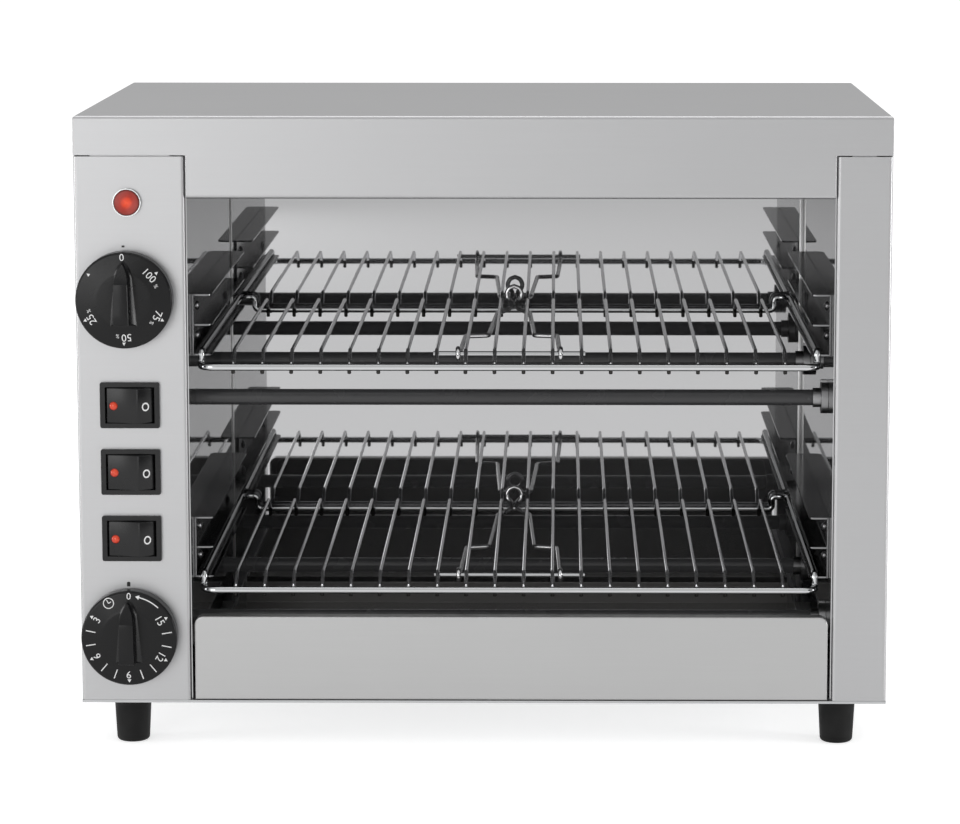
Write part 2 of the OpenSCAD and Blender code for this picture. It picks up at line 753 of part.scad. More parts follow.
// wire handle folded under the rack: eyes on the hinge bar, shoulders, and a
// finger loop that stands up between the two middle wires
module handle(level) color("silver") placed() translate([rack_x, 0, arm_z + level]) {
    bend_r = 2.2;
    foot_y = loop_y - 9;
    // the loop is a half ring on a neck that opens out in two quarter bends
    ring_r = (loop_w - handle_d) / 2;
    flare_r = handle_d / 2 + 0.1;
    throat_x = ring_r - 2 * flare_r;
    ring_z = loop_h - handle_d / 2 - ring_r;
    flare_z = ring_z - 2 * flare_r;
    for (side = [0, 1]) mirror([side, 0, 0]) {
        // eye, left open where the wire comes round to its arm
        translate([eye_x, hinge_y, eye_r]) rotate([90, 0, 90]) wire_bend(eye_r, handle_d, 0, 270);
        square_wire([[eye_x, hinge_y], [eye_x, shoulder_y], [neck_x, shoulder_y],
            [neck_x, foot_y], [throat_x, foot_y], [throat_x, loop_y - bend_r]], handle_d, bend_r);
        translate([throat_x, loop_y - bend_r, bend_r]) rotate([90, 0, 90])
            wire_bend(bend_r, handle_d, 270);
        rod([throat_x, loop_y, bend_r], [throat_x, loop_y, flare_z], handle_d);
        translate([throat_x + flare_r, loop_y, 0]) rotate([90, 0, 0]) {
            translate([0, flare_z]) wire_bend(flare_r, handle_d, 90);
            translate([0, ring_z]) wire_bend(flare_r, handle_d, 270);
        }
    }
    translate([0, loop_y, ring_z]) rotate([90, 0, 0]) wire_bend(ring_r, handle_d, 0, 180);
}

module upper_handle() handle(level_pitch);
module lower_handle() handle(0);

// ---------------------------------------------------------------- crumb tray

// outline of the tray front: square below, rounded above
module tray_outline(half, h, r) {
    translate([-half, 0]) square([2 * half, h - r]);
    translate([-half + r, 0]) square([2 * (half - r), h]);
    for (x = [r - half, half - r]) translate([x, h - r]) circle(r);
}

module tray_front() color("silver") placed()
    translate([wall_mid, 0, tray_z0]) rotate([90, 0, 0]) mirror([0, 0, 1])
        difference() {
            linear_extrude(tray_return) tray_outline(tray_half, tray_front_h, tray_corner_r);
            translate([0, -1, tray_t]) linear_extrude(tray_return)
                tray_outline(tray_half - tray_t, tray_front_h - tray_t + 1, tray_corner_r - tray_t);
        }

module tray_pan() color("gray") placed() {
    y0 = tray_return + fit;
    front_top = tray_z0 + tray_front_h - 1;
    // floor, side walls and rear wall
    difference() {
        block([wall_mid - pan_half, y0, pan_z], [wall_mid + pan_half, pan_back, pan_z + pan_wall_h]);
        block([wall_mid - pan_half + tray_t, y0 + tray_t, pan_z + tray_t],
            [wall_mid + pan_half - tray_t, pan_back - tray_t, far]);
    }
    // taller front wall, with rounded corners, that closes the back of the front
    translate([wall_mid, y0, pan_z]) rotate([90, 0, 0]) mirror([0, 0, 1])
        linear_extrude(tray_t) tray_outline(pan_half, front_top - pan_z, tray_corner_r);
    for (side = [-1, 1])
        translate([wall_mid + side * (pan_half + 1.5), y0 + tray_t / 2, tray_z0 + tray_front_h / 2])
            cube([5, tray_t, 8], center = true);
}

// ---------------------------------------------------------------- controls

hub_d = 32;
edge_r = 1.5;

// grip seen from the front: pointed at the top, flat with small corners below
module grip_shape(grow = 0) {
    w = grip_w / 2 + grow;
    point_l = grip_l * 0.36;
    arch_r = (point_l * point_l + w * w) / (2 * w);
    low = -grip_l / 2 + 0.5 - grow;
    tip = grip_l / 2 - point_l;
    intersection_for(side = [-1, 1])
        translate([side * (arch_r - w), tip]) circle(r = arch_r, $fn = 180);
    translate([-w, low + 2]) square([2 * w, tip - low - 2]);
    translate([-w + 2, low]) square([2 * w - 4, 4]);
    for (x = [2 - w, w - 2]) translate([x, low + 2]) circle(2);
}

// dial with a hollow skirt; its axis is along Y, with its back at y = 0
module dial(z) color([0.13, 0.13, 0.14]) placed()
    translate([dial_x, -dial_gap, z]) rotate([90, 0, 0])
        difference() {
            union() {
                rotate_extrude() difference() {
                    union() {
                        square([dial_d / 2, dial_t - edge_r]);
                        square([dial_d / 2 - edge_r, dial_t]);
                        translate([dial_d / 2 - edge_r, dial_t - edge_r]) circle(edge_r);
                        square([hub_d / 2, dial_t + 1]);
                    }
                    translate([-far, -far]) square([far, 2 * far]);
                    translate([spindle_d / 2 + 3.5, -1]) square([dial_d / 2 - 2 - spindle_d / 2 - 3.5, dial_t - 1]);
                }
                translate([0, 0, dial_t - 1]) linear_extrude(grip_h - 1) grip_shape();
                translate([0, 0, dial_t - 1]) linear_extrude(grip_h + 1) grip_shape(-1.4);
                translate([0, 0, dial_t - 1]) linear_extrude(3.4) grip_shape(1);
            }
            translate([0, 0, -1]) cylinder(h = dial_t + 6, d = spindle_d + 2 * spindle_play);
        }

// spindle from inside the dial to the mechanism
module spindle(z, l) color("silver") placed()
    translate([dial_x, -dial_gap - dial_t - 4, z]) along_y(0)
        cylinder(h = dial_gap + dial_t + 4 + l, d = spindle_d);

module power_knob() dial(power_z);
module timer_knob() dial(timer_z);
module power_spindle() spindle(power_z, 16);
module timer_spindle() spindle(timer_z, 16);

// mechanism box behind the panel with a bush round its spindle and tab terminals
module mechanism(z, w, h, l, tabs) placed() translate([dial_x, 0, z]) {
    y0 = sheet_t + fit;
    difference() {
        union() {
            translate([-w / 2, y0, -h / 2]) cube([w, 1.5, h]);
            translate([-w / 2 + 2, y0 + 1, -h / 2 + 2]) cube([w - 4, l, h - 4]);
        }
        along_y(-1) cylinder(h = 18 + fit, d = spindle_d + 2 * spindle_play);
    }
    for (i = [0:tabs - 1])
        translate([-w / 2 + 7 + i * (w - 14) / (tabs - 1), y0 + l, 0])
            cube([0.8, 18, 6.3], center = true);
}

module power_regulator() color("dimgray") mechanism(power_z, regulator_w, regulator_w, regulator_l, 5);

module timer_movement() {
    color("dimgray") mechanism(timer_z, movement_w, movement_w, movement_l, 3);
    // bell
    color("dimgray") placed()
        translate([dial_x, sheet_t + movement_l, timer_z + 12]) along_y(0) cylinder(h = 10, d = 18);
}

// ---------------------------------------------------------------- rockers

// rocker housing with its bezel over the panel and two pivot holes
module switch_housing(i) color([0.1, 0.1, 0.11]) placed()
    translate([axis_x, 0, rocker_z + i * rocker_pitch])
        difference() {
            union() {
                along_y(-bezel_t) linear_extrude(bezel_t - fit / 2) round_rect(bezel_w, bezel_h, 1.2);
                translate([-switch_w / 2, -fit, -switch_h / 2]) cube([switch_w, switch_l, switch_h]);
                for (x = [-9, 0, 9])
                    translate([x, switch_l, 0]) cube([0.8, 16, 6.3], center = true);
            }
            translate([-pocket_w / 2, -far, -pocket_h / 2]) cube([pocket_w, far + pocket_y, pocket_h]);
            translate([0, rocker_pivot, 0]) cylinder(h = switch_h - 1, d = pin_d + fit, center = true);
        }

module switch_lower() switch_housing(0);
module switch_middle() switch_housing(1);
module switch_upper() switch_housing(2);

rocker_face = -4.5;
rocker_valley = [5.2, -1.6];
face_tilt = atan2(rocker_valley.y - rocker_face, rocker_valley.x + rocker_w / 2);
lens_x = -8.2;
lens_y = rocker_face + (lens_x + rocker_w / 2) * tan(face_tilt);

// places its children on the rocker's large face, pointing inwards
module on_rocker_face() translate([lens_x, lens_y, 0]) rotate([-90, 0, face_tilt]) children();

// rocker in its off position: wide face proud on the left, narrow face pressed in
module rocker(i) color([0.08, 0.08, 0.09]) placed()
    translate([axis_x, 0, rocker_z + i * rocker_pitch]) {
        half = rocker_w / 2;
        difference() {
            translate([0, 0, -rocker_h / 2]) linear_extrude(rocker_h)
                polygon([[-half, rocker_face], rocker_valley, [half, -1], [half - 0.3, 1.5],
                    [6, 6], [-6, 6], [-half + 0.7, 1.5]]);
            on_rocker_face() translate([0, 0, -1]) cylinder(h = 3.6, d = lens_d + fit);
        }
        translate([0, rocker_pivot, 0])
            cylinder(h = switch_h - 1.2, d = pin_d, center = true);
    }

module rocker_lower() rocker(0);
module rocker_middle() rocker(1);
module rocker_upper() rocker(2);

module rocker_lens(i) color("red") placed()
    translate([axis_x, 0, rocker_z + i * rocker_pitch])
        on_rocker_face() translate([0, 0, -0.4]) cylinder(h = 2.9, d = lens_d);

module rocker_lens_lower() rocker_lens(0);
module rocker_lens_middle() rocker_lens(1);
module rocker_lens_upper() rocker_lens(2);

// ---------------------------------------------------------------- lamp

lamp_neck_d = 12;
lamp_lens_d = lamp_d - 1.3;

module lamp_ring() color("whitesmoke") placed()
    translate([axis_x, 0, lamp_z]) along_y(0)
        rotate_extrude() {
            difference() {
                translate([0, -2]) square([lamp_d / 2, 2 - fit / 2]);
                translate([-1, -3]) square([lamp_lens_d / 2 + 1 + fit, 2.2]);
            }
        }

module lamp_lens() color("orangered") placed()
    translate([axis_x, 0, lamp_z]) along_y(0)
        rotate_extrude() difference() {
            union() {
                translate([0, -2.6]) square([lamp_lens_d / 2 - 0.8, 1.7]);
                translate([0, -1.8]) square([lamp_lens_d / 2, 0.9]);
                translate([lamp_lens_d / 2 - 0.8, -1.8]) circle(0.8);
            }
            translate([-far, -far]) square([far, 2 * far]);
        }

module lamp_holder() color("ivory") placed()
    translate([axis_x, sheet_t + fit, lamp_z]) along_y(0) {
        cylinder(h = 3, d = lamp_neck_d + 6);
        cylinder(h = 22, d = lamp_neck_d);
        for (x = [-3, 3]) translate([x, 0, 24]) cube([0.8, 4, 8], center = true);
    }

// ---------------------------------------------------------------- inlet

gland_neck_d = 15;
gland_hex_d = 22;

module cable_gland() color([0.12, 0.12, 0.12]) placed()
    translate([axis_x, gland_y, base_z + inlet_up]) along_y(0)
        difference() {
            union() {
                translate([0, 0, -5]) cylinder(h = 5 - fit, d = gland_hex_d, $fn = 6);
                translate([0, 0, -10]) cylinder(h = 14, d = gland_neck_d);
                translate([0, 0, sheet_t + fit]) cylinder(h = 4, d = gland_hex_d, $fn = 6);
                translate([0, 0, 4]) cylinder(h = inlet_l + sheet_t - 4, d = gland_neck_d + 1);
            }
            translate([0, 0, -20]) cylinder(h = 60, d = inlet_bore);
        }

// screw terminals for the supply cable, on the base behind the timer
module terminal_block() color("ivory") placed()
    translate([axis_x - 20, body_d - 90, floor_z + fit])
        difference() {
            cube([40, 22, 20]);
            for (x = [7, 20, 33]) {
                translate([x, 11, 8]) cylinder(h = 20, d = 5);
                translate([x, -1, 10]) rotate([-90, 0, 0]) cylinder(h = 8, d = 5);
                translate([x, 15, 10]) rotate([-90, 0, 0]) cylinder(h = 8, d = 5);
            }
        }

// ---------------------------------------------------------------- feet

// rubber foot with a rounded lower edge and a counterbore for its screw
module foot(x, y) color([0.09, 0.09, 0.09]) placed() translate([x, y, 0]) {
    round_r = 2.2;
    h = foot_h - fit / 2;
    side = foot_bottom_d / 2;
    difference() {
        rotate_extrude() {
            polygon([[0, round_r], [side, round_r], [foot_top_d / 2, h], [0, h]]);
            square([side - round_r, round_r]);
            intersection() {
                translate([side - round_r, round_r]) circle(round_r);
                square([side, round_r]);
            }
        }
        translate([0, 0, -1]) cylinder(h = foot_h - 5, d = 9.4);
        cylinder(h = far, d = screw_d + 2 * fit);
    }
}

module foot_front_left() foot(foot_xs[0], foot_ys[0]);
module foot_front_right() foot(foot_xs[1], foot_ys[0]);
module foot_rear_left() foot(foot_xs[0], foot_ys[1]);
module foot_rear_right() foot(foot_xs[1], foot_ys[1]);

// foot screws from below and rear panel screws from behind
module case_screws() color("silver") placed() {
    for (x = foot_xs, y = foot_ys)
        translate([x, y, foot_h - 6]) {
            translate([0, 0, -3]) cylinder(h = 3 - fit, d = 8.4);
            translate([0, 0, -1]) cylinder(h = 12, d = screw_d);
        }
    for (p = rear_screws_at)
        translate([p.x, body_d + fit / 2, p.y]) rotate([90, 0, 0])
            dome_screw(6.4, 2, screw_d - 1, 6);
}

// ---------------------------------------------------------------- output

top_cover();
left_casing();
right_casing();
base_pan();
rear_panel();
liner_left();
liner_right();
liner_back();
liner_top();
heat_shield();
heater_top_front();
heater_top_rear();
heater_middle_front();
heater_middle_rear();
heater_bottom_front();
heater_bottom_rear();
heater_coils();
heater_caps_left();
heater_caps_right();
rail_upper_left();
rail_upper_right();
rail_lower_left();
rail_lower_right();
rail_screws();
upper_rack_frame();
upper_rack_wires();
upper_hinge_bar();
upper_handle();
lower_rack_frame();
lower_rack_wires();
lower_hinge_bar();
lower_handle();
tray_front();
tray_pan();
power_knob();
power_spindle();
timer_knob();
timer_spindle();
power_regulator();
timer_movement();
switch_upper();
switch_middle();
switch_lower();
rocker_upper();
rocker_middle();
rocker_lower();
rocker_lens_upper();
rocker_lens_middle();
rocker_lens_lower();
lamp_ring();
lamp_lens();
lamp_holder();
terminal_block();
cable_gland();
foot_front_left();
foot_front_right();
foot_rear_left();
foot_rear_right();
case_screws();
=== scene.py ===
import math

import bmesh
import bpy
from mathutils import Matrix, Vector
from mathutils.bvhtree import BVHTree


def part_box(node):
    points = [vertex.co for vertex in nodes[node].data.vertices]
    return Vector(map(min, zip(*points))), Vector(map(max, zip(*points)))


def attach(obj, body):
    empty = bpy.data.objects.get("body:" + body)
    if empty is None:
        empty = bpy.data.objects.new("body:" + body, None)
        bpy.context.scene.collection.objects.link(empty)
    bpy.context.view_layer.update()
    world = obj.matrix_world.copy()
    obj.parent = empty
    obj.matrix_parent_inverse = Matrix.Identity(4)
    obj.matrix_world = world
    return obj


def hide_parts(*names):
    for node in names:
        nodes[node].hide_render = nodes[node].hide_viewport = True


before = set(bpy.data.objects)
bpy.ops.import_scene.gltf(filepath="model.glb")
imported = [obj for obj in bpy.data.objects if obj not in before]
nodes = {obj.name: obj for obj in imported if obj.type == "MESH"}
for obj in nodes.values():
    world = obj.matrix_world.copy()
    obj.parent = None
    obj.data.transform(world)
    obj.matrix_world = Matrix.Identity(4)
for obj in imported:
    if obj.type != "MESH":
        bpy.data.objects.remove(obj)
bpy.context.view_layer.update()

MM = 0.001


def mid(node):
    """Middle of a CAD node's box."""
    low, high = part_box(node)
    return (low + high) / 2


# Places that the pieces below share, read from the model. The front faces -Y.
front_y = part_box("left_casing")[0].y
level_pitch = (mid("upper_hinge_bar") - mid("lower_hinge_bar")).z
rack_x = mid("lower_hinge_bar").x


# ------------------------------------------------------------------ node trees

def linear(code):
    """Linear RGBA of an sRGB hex colour such as #c8c8ca."""
    parts = [int(code[i:i + 2], 16) / 255 for i in (1, 3, 5)]
    return [c / 12.92 if c <= 0.04045 else ((c + 0.055) / 1.055) ** 2.4 for c in parts] + [1.0]


def shades(code, share):
    """The colour made darker, and made lighter, by a share."""
    base = linear(code)[:3]
    return [c * (1 - share) for c in base] + [1.0], [min(1.0, c * (1 + share)) for c in base] + [1.0]


def add(tree, kind, settings=(), links=()):
    """Adds a node. A setting names a property or an input, a link names the input it feeds."""
    node = tree.nodes.new("ShaderNode" + kind)
    for name, value in dict(settings).items():
        if isinstance(name, str) and hasattr(node, name):
            setattr(node, name, value)
        else:
            node.inputs[name].default_value = value
    for name, output in dict(links).items():
        tree.links.new(output, node.inputs[name])
    return node


def new_material(name):
    """A material with an empty tree, its shader and its output."""
    material = bpy.data.materials.new(name)
    material.use_nodes = True
    tree = material.node_tree
    tree.nodes.clear()
    shader = add(tree, "BsdfPrincipled")
    add(tree, "OutputMaterial", links={"Surface": shader.outputs[0]})
    return material, tree, shader


def grain_vector(tree, along_mm, across_mm):
    """Coordinates that run long in the brushing direction: X on fronts and tops, Y on sides."""
    along, across, side_limit = 1 / (along_mm * MM), 1 / (across_mm * MM), 0.7
    place = add(tree, "TexCoord")
    fronts = add(tree, "Mapping", {"Scale": (along, across, across)}, {"Vector": place.outputs["Object"]})
    sides = add(tree, "Mapping", {"Scale": (across, along, across)}, {"Vector": place.outputs["Object"]})
    facing = add(tree, "SeparateXYZ", links={0: place.outputs["Normal"]})
    size = add(tree, "Math", {"operation": "ABSOLUTE"}, {0: facing.outputs["X"]})
    side = add(tree, "Math", {"operation": "GREATER_THAN", 1: side_limit}, {0: size.outputs[0]})
    return add(tree, "Mix", {"data_type": "VECTOR"},
               {0: side.outputs[0], 4: fronts.outputs[0], 5: sides.outputs[0]}).outputs[1]


def sheet_metal(name, colour, roughness, grain=(60, 0.9), grain_depth=0.012, smudge=0.05, wave=0.0,
                edge="#c8c8c8", tone=0.04, fold_mm=0.0, haze=0.0):
    """Metal: brushing lines, slow changes of tone and of polish, a slight wave and a dull haze.

    Grain is the length and spacing of the lines in millimetres. Real lines lie less than 0.1 mm apart, too
    close to show, so they are drawn as coarse as they need to be seen."""
    patch_mm, swell_mm, finest_polish = 55, 90, 0.02
    material, tree, shader = new_material(name)
    shader.inputs["Metallic"].default_value = 1.0 - haze
    shader.inputs["Specular Tint"].default_value = linear(edge)
    place = add(tree, "TexCoord")
    lines = add(tree, "TexNoise", {"Scale": 1.0, "Detail": 3.0, "Roughness": 0.6},
                {"Vector": grain_vector(tree, *grain)})
    patches = add(tree, "TexNoise", {"Scale": 1 / (patch_mm * MM), "Detail": 2.0},
                  {"Vector": place.outputs["Object"]})
    dark, light = shades(colour, tone)
    mixed = add(tree, "Math", {"operation": "MULTIPLY_ADD", 1: 0.5, 2: 0.25}, {0: lines.outputs["Fac"]})
    both = add(tree, "Math", {"operation": "MULTIPLY_ADD", 1: 0.5},
               {0: patches.outputs["Fac"], 2: mixed.outputs[0]})
    tint = add(tree, "Mix", {"data_type": "RGBA", 6: dark, 7: light}, {0: both.outputs[0]})
    tree.links.new(tint.outputs[2], shader.inputs["Base Color"])
    low, high = max(finest_polish, roughness - smudge), roughness + smudge
    polish = add(tree, "MapRange", {"From Min": 0.3, "From Max": 0.7, "To Min": low, "To Max": high},
                 {"Value": both.outputs[0]})
    tree.links.new(polish.outputs[0], shader.inputs["Roughness"])
    brushed = add(tree, "Bump", {"Strength": 1.0, "Distance": grain_depth * MM},
                  {"Height": lines.outputs["Fac"]})
    if fold_mm:
        # rounds each sharp fold, so that it catches a thin line of light
        fold = add(tree, "Bevel", {"samples": 4, "Radius": fold_mm * MM})
        tree.links.new(fold.outputs[0], brushed.inputs["Normal"])
    if wave:
        swell = add(tree, "TexNoise", {"Scale": 1 / (swell_mm * MM), "Detail": 1.0},
                    {"Vector": place.outputs["Object"]})
        brushed = add(tree, "Bump", {"Strength": 1.0, "Distance": wave * MM},
                      {"Height": swell.outputs["Fac"], "Normal": brushed.outputs[0]})
    tree.links.new(brushed.outputs[0], shader.inputs["Normal"])
    return material


def moulding(name, colour, roughness, ior=1.5, gloss=0.5, texture=(0.35, 0.01), tone=0.12, painted_glow=0.0,
             coat=0.0, edge_mm=0.0):
    """Moulded plastic, rubber, ceramic or quartz: a fine skin and a slow change of tone.

    Texture is the spacing and depth of the skin's grains in millimetres. The real grains are finer than the
    render can show, so they are drawn coarser."""
    patch_mm, polish_change = 14, 0.15
    material, tree, shader = new_material(name)
    shader.inputs["IOR"].default_value = ior
    shader.inputs["Specular IOR Level"].default_value = gloss
    shader.inputs["Coat Weight"].default_value = coat
    place = add(tree, "TexCoord")
    skin = add(tree, "TexNoise", {"Scale": 1 / (texture[0] * MM), "Detail": 2.0},
               {"Vector": place.outputs["Object"]})
    patches = add(tree, "TexNoise", {"Scale": 1 / (patch_mm * MM), "Detail": 2.0},
                  {"Vector": place.outputs["Object"]})
    dark, light = shades(colour, tone)
    tint = add(tree, "Mix", {"data_type": "RGBA", 6: dark, 7: light}, {0: patches.outputs["Fac"]})
    tree.links.new(tint.outputs[2], shader.inputs["Base Color"])
    # painted glow: the skin gives off a faint light of its own tint, though it is no lamp
    if painted_glow:
        shader.inputs["Emission Strength"].default_value = painted_glow
        tree.links.new(tint.outputs[2], shader.inputs["Emission Color"])
    low, high = roughness * (1 - polish_change), roughness * (1 + polish_change)
    polish = add(tree, "MapRange", {"From Min": 0.35, "From Max": 0.65, "To Min": low, "To Max": high},
                 {"Value": patches.outputs["Fac"]})
    tree.links.new(polish.outputs[0], shader.inputs["Roughness"])
    bump = add(tree, "Bump", {"Strength": 1.0, "Distance": texture[1] * MM},
               {"Height": skin.outputs["Fac"]})
    if edge_mm:
        # rounds each moulded edge, so that it catches a thin line of light
        soft_edge = add(tree, "Bevel", {"samples": 4, "Radius": edge_mm * MM})
        tree.links.new(soft_edge.outputs[0], bump.inputs["Normal"])
    tree.links.new(bump.outputs[0], shader.inputs["Normal"])
    return material


# ------------------------------------------------------------------ materials

# Stainless sheet with a fine satin grain: soft, slightly streaked reflections.
casing_satin = sheet_metal("satin_stainless_sheet", "#a0a0a1", 0.38, edge="#d0d0d0", fold_mm=0.4)
# The same sheet, folded into the crumb tray's front: its fold catches a broad line of light.
tray_satin = sheet_metal("satin_stainless_tray_front", "#a3a3a3", 0.27, fold_mm=1.3, haze=0.2)
# Narrow lapped flanges of the liner, in satin stainless paler than the liner: a painted highlight, pale
# upright lines for the lines of light in the back corners.
painted_highlight_flange = sheet_metal("satin_liner_flange_painted_highlight", "#d4d4d4", 0.34, edge="#dcdcdc")
# Mirror polished stainless: clear reflections with a slight wave of the sheet.
liner_mirror = sheet_metal("mirror_polished_liner", "#a9a9aa", 0.014, grain=(120, 1.2), grain_depth=0.0,
                           smudge=0.006, wave=0.02, edge="#c4c4c4", tone=0.02, haze=0.10)
# Zinc coated base sheet: flaky and duller than the casing.
base_zinc = sheet_metal("zinc_coated_base", "#a6a7a8", 0.42, grain=(9, 6), grain_depth=0.01, smudge=0.1,
                        tone=0.12)
# Aluminised shield: dull grey, out of sight under the cover.
shield_aluminised = sheet_metal("aluminised_shield", "#a8a8aa", 0.45, tone=0.08)
# Pressed stainless rails: dark grey, with a shine that blurs what it mirrors.
rail_sheet = sheet_metal("pressed_stainless_rails", "#727273", 0.09, grain=(30, 0.8), grain_depth=0.004,
                         smudge=0.03, edge="#b0b0b0", tone=0.05, fold_mm=0.5, haze=0.05)
# Tray pan of folded stainless: dulled and darkened by heat and crumbs.
pan_sheet = sheet_metal("heat_dulled_tray_pan", "#949392", 0.16, grain=(40, 1.0), grain_depth=0.006,
                        edge="#8c8c8c", tone=0.08, fold_mm=0.4, haze=0.35)
# Chrome plated cross wires: dark and bright lines along each wire.
chrome_wire = sheet_metal("chrome_plated_wire", "#d6d6d8", 0.08, grain=(4, 4), grain_depth=0.0, smudge=0.02,
                          edge="#dcdcdc", tone=0.02, haze=0.06)
# Chrome plated bars of the rack frames and hinges: the same plating and lines as the cross wires, in a
# darker copy that is painted shade.
chrome_bar = sheet_metal("chrome_plated_bar", "#b0b1b2", 0.06, grain=(4, 4), grain_depth=0.0, smudge=0.02,
                         edge="#c4c4c4", tone=0.02)
# Lower ends of the cross wires, dark and dull: painted shade that stands in for the dark surroundings these
# ends mirror.
painted_shade_wire = sheet_metal("painted_shade_wire_end", "#343332", 0.42, grain=(3, 3), grain_depth=0.004,
                          edge="#707070", tone=0.1)
# Drawn wire of the handles: bright, a shade darker than the cross wires.
drawn_wire = sheet_metal("drawn_steel_wire", "#bcbcbd", 0.1, grain=(6, 1), grain_depth=0.003, haze=0.06)
# Turned screws and spindles: mid grey, with fine rings that blur their shine.
turned_steel = sheet_metal("turned_steel", "#7a7a7b", 0.3, grain=(3, 0.5), grain_depth=0.004, fold_mm=0.2)
# Satin quartz tubes, darkened by the coil inside: near black, with a soft line of light and a faint painted
# glow that stands in for light on their backs.
quartz = moulding("satin_quartz_tube", "#303031", 0.24, ior=1.46, gloss=0.3, texture=(0.8, 0.004),
                  tone=0.10, painted_glow=0.3, coat=0.1)
# Oxidised resistance wire: dull brown.
coil_wire = sheet_metal("oxidised_resistance_wire", "#6b5648", 0.5, grain=(2, 2), tone=0.2)
# Nickel plated end caps of the tubes: grey, with a satin shine.
end_cap = sheet_metal("nickel_plated_end_cap", "#8c8c8d", 0.26, grain=(3, 0.6), grain_depth=0.006,
                      edge="#808080", tone=0.08, fold_mm=0.3)
# Dials moulded in satin black plastic: dark, with a soft light along the rounded edges.
dial_black = moulding("satin_black_dial", "#0f0f10", 0.25, gloss=0.19, texture=(0.3, 0.003), tone=0.05)
# Switches moulded in glossy black plastic: clear highlights and thin light edges.
switch_black = moulding("glossy_black_switch", "#131314", 0.25, gloss=0.27, texture=(0.6, 0.002), tone=0.05,
                        edge_mm=0.35)
# Glass filled thermoset of the mechanisms: dull, slightly brown.
mechanism_black = moulding("thermoset_mechanism", "#2a2725", 0.6, texture=(0.4, 0.01))
# Printing on the dials and rockers: flat white ink.
print_white = moulding("white_printing", "#e4e4e4", 0.5, gloss=0.3, texture=(0.4, 0.002), tone=0.03)
# Index marks on the panel: flat black ink.
print_black = moulding("black_printing", "#0e0e0e", 0.45, gloss=0.3, texture=(0.4, 0.002), tone=0.03)
# Plated ring of the indicator lamp: a thin bright line.
lamp_ring_chrome = sheet_metal("plated_lamp_ring", "#bcbcbc", 0.12, grain=(2, 2), grain_depth=0.001,
                               fold_mm=0.3)
# Nylon lamp body and terminal block: ivory and dull.
holder_ivory = moulding("ivory_lamp_body", "#d3cbb4", 0.5)
terminal_ivory = moulding("ivory_terminal_block", "#d6d0bd", 0.5)
# Nylon cable gland: black, finely textured.
gland_nylon = moulding("black_nylon_gland", "#1d1d1e", 0.5, texture=(0.5, 0.01))
# Moulded rubber feet: matt black with a grainy skin.
rubber = moulding("matt_black_rubber", "#0c0c0c", 0.62, gloss=0.2, texture=(0.5, 0.03), tone=0.15)


def lamp_plastic():
    """Red indicator lens with painted light: a bright orange core over the neon, partly a painted glow, a
    dark red rim of painted shade, and fine rings in its back.
    """
    lens_r, speck_mm, ring_mm, ring_depth, rim_mm = 7.2, 1.6, 0.9, 0.01, 0.6
    material, tree, shader = new_material("clear_red_lamp_lens")
    shader.inputs["Roughness"].default_value = 0.12
    shader.inputs["IOR"].default_value = 1.49
    shader.inputs["Specular IOR Level"].default_value = 0.28
    place = add(tree, "TexCoord")
    from_axis = add(tree, "VectorMath", {"operation": "SUBTRACT", 1: mid("lamp_lens")},
                    {0: place.outputs["Object"]})
    in_plane = add(tree, "VectorMath", {"operation": "MULTIPLY", 1: (1, 0, 1)}, {0: from_axis.outputs[0]})
    radius = add(tree, "VectorMath", {"operation": "LENGTH"}, {0: in_plane.outputs[0]})
    # painted light by radius: a painted glow at the orange core and painted shade towards the dark red rim
    part = add(tree, "MapRange", {"From Min": 0.0, "From Max": lens_r * MM},
               {"Value": radius.outputs["Value"]})
    painted_light_ramp = add(tree, "ValToRGB", links={"Fac": part.outputs[0]})
    ramp = painted_light_ramp.color_ramp
    ramp.elements[0].color, ramp.elements[1].color = linear("#e84c1c"), linear("#3c0c0a")
    for spot, colour in ((0.3, "#d43c18"), (0.5, "#a42818"), (0.84, "#8e2a20")):
        ramp.elements.new(spot).color = linear(colour)
    speckle = add(tree, "TexNoise", {"Scale": 1 / (speck_mm * MM), "Detail": 2.0},
                  {"Vector": place.outputs["Object"]})
    shade = add(tree, "MapRange", {"To Min": 0.8, "To Max": 1.15}, {"Value": speckle.outputs["Fac"]})
    tint = add(tree, "Mix", {"data_type": "RGBA", "blend_type": "MULTIPLY", 0: 1.0},
               {6: painted_light_ramp.outputs[0], 7: shade.outputs[0]})
    tree.links.new(tint.outputs[2], shader.inputs["Base Color"])
    # painted glow: the lens gives off a faint light of its own tint
    tree.links.new(tint.outputs[2], shader.inputs["Emission Color"])
    shader.inputs["Emission Strength"].default_value = 0.10
    phase = add(tree, "Math", {"operation": "MULTIPLY", 1: 2 * math.pi / (ring_mm * MM)},
                {0: radius.outputs["Value"]})
    ripple = add(tree, "Math", {"operation": "SINE"}, {0: phase.outputs[0]})
    soft_rim = add(tree, "Bevel", {"samples": 4, "Radius": rim_mm * MM})
    bump = add(tree, "Bump", {"Strength": 1.0, "Distance": ring_depth * MM},
               {"Height": ripple.outputs[0], "Normal": soft_rim.outputs[0]})
    tree.links.new(bump.outputs[0], shader.inputs["Normal"])
    return material


lamp_red = lamp_plastic()


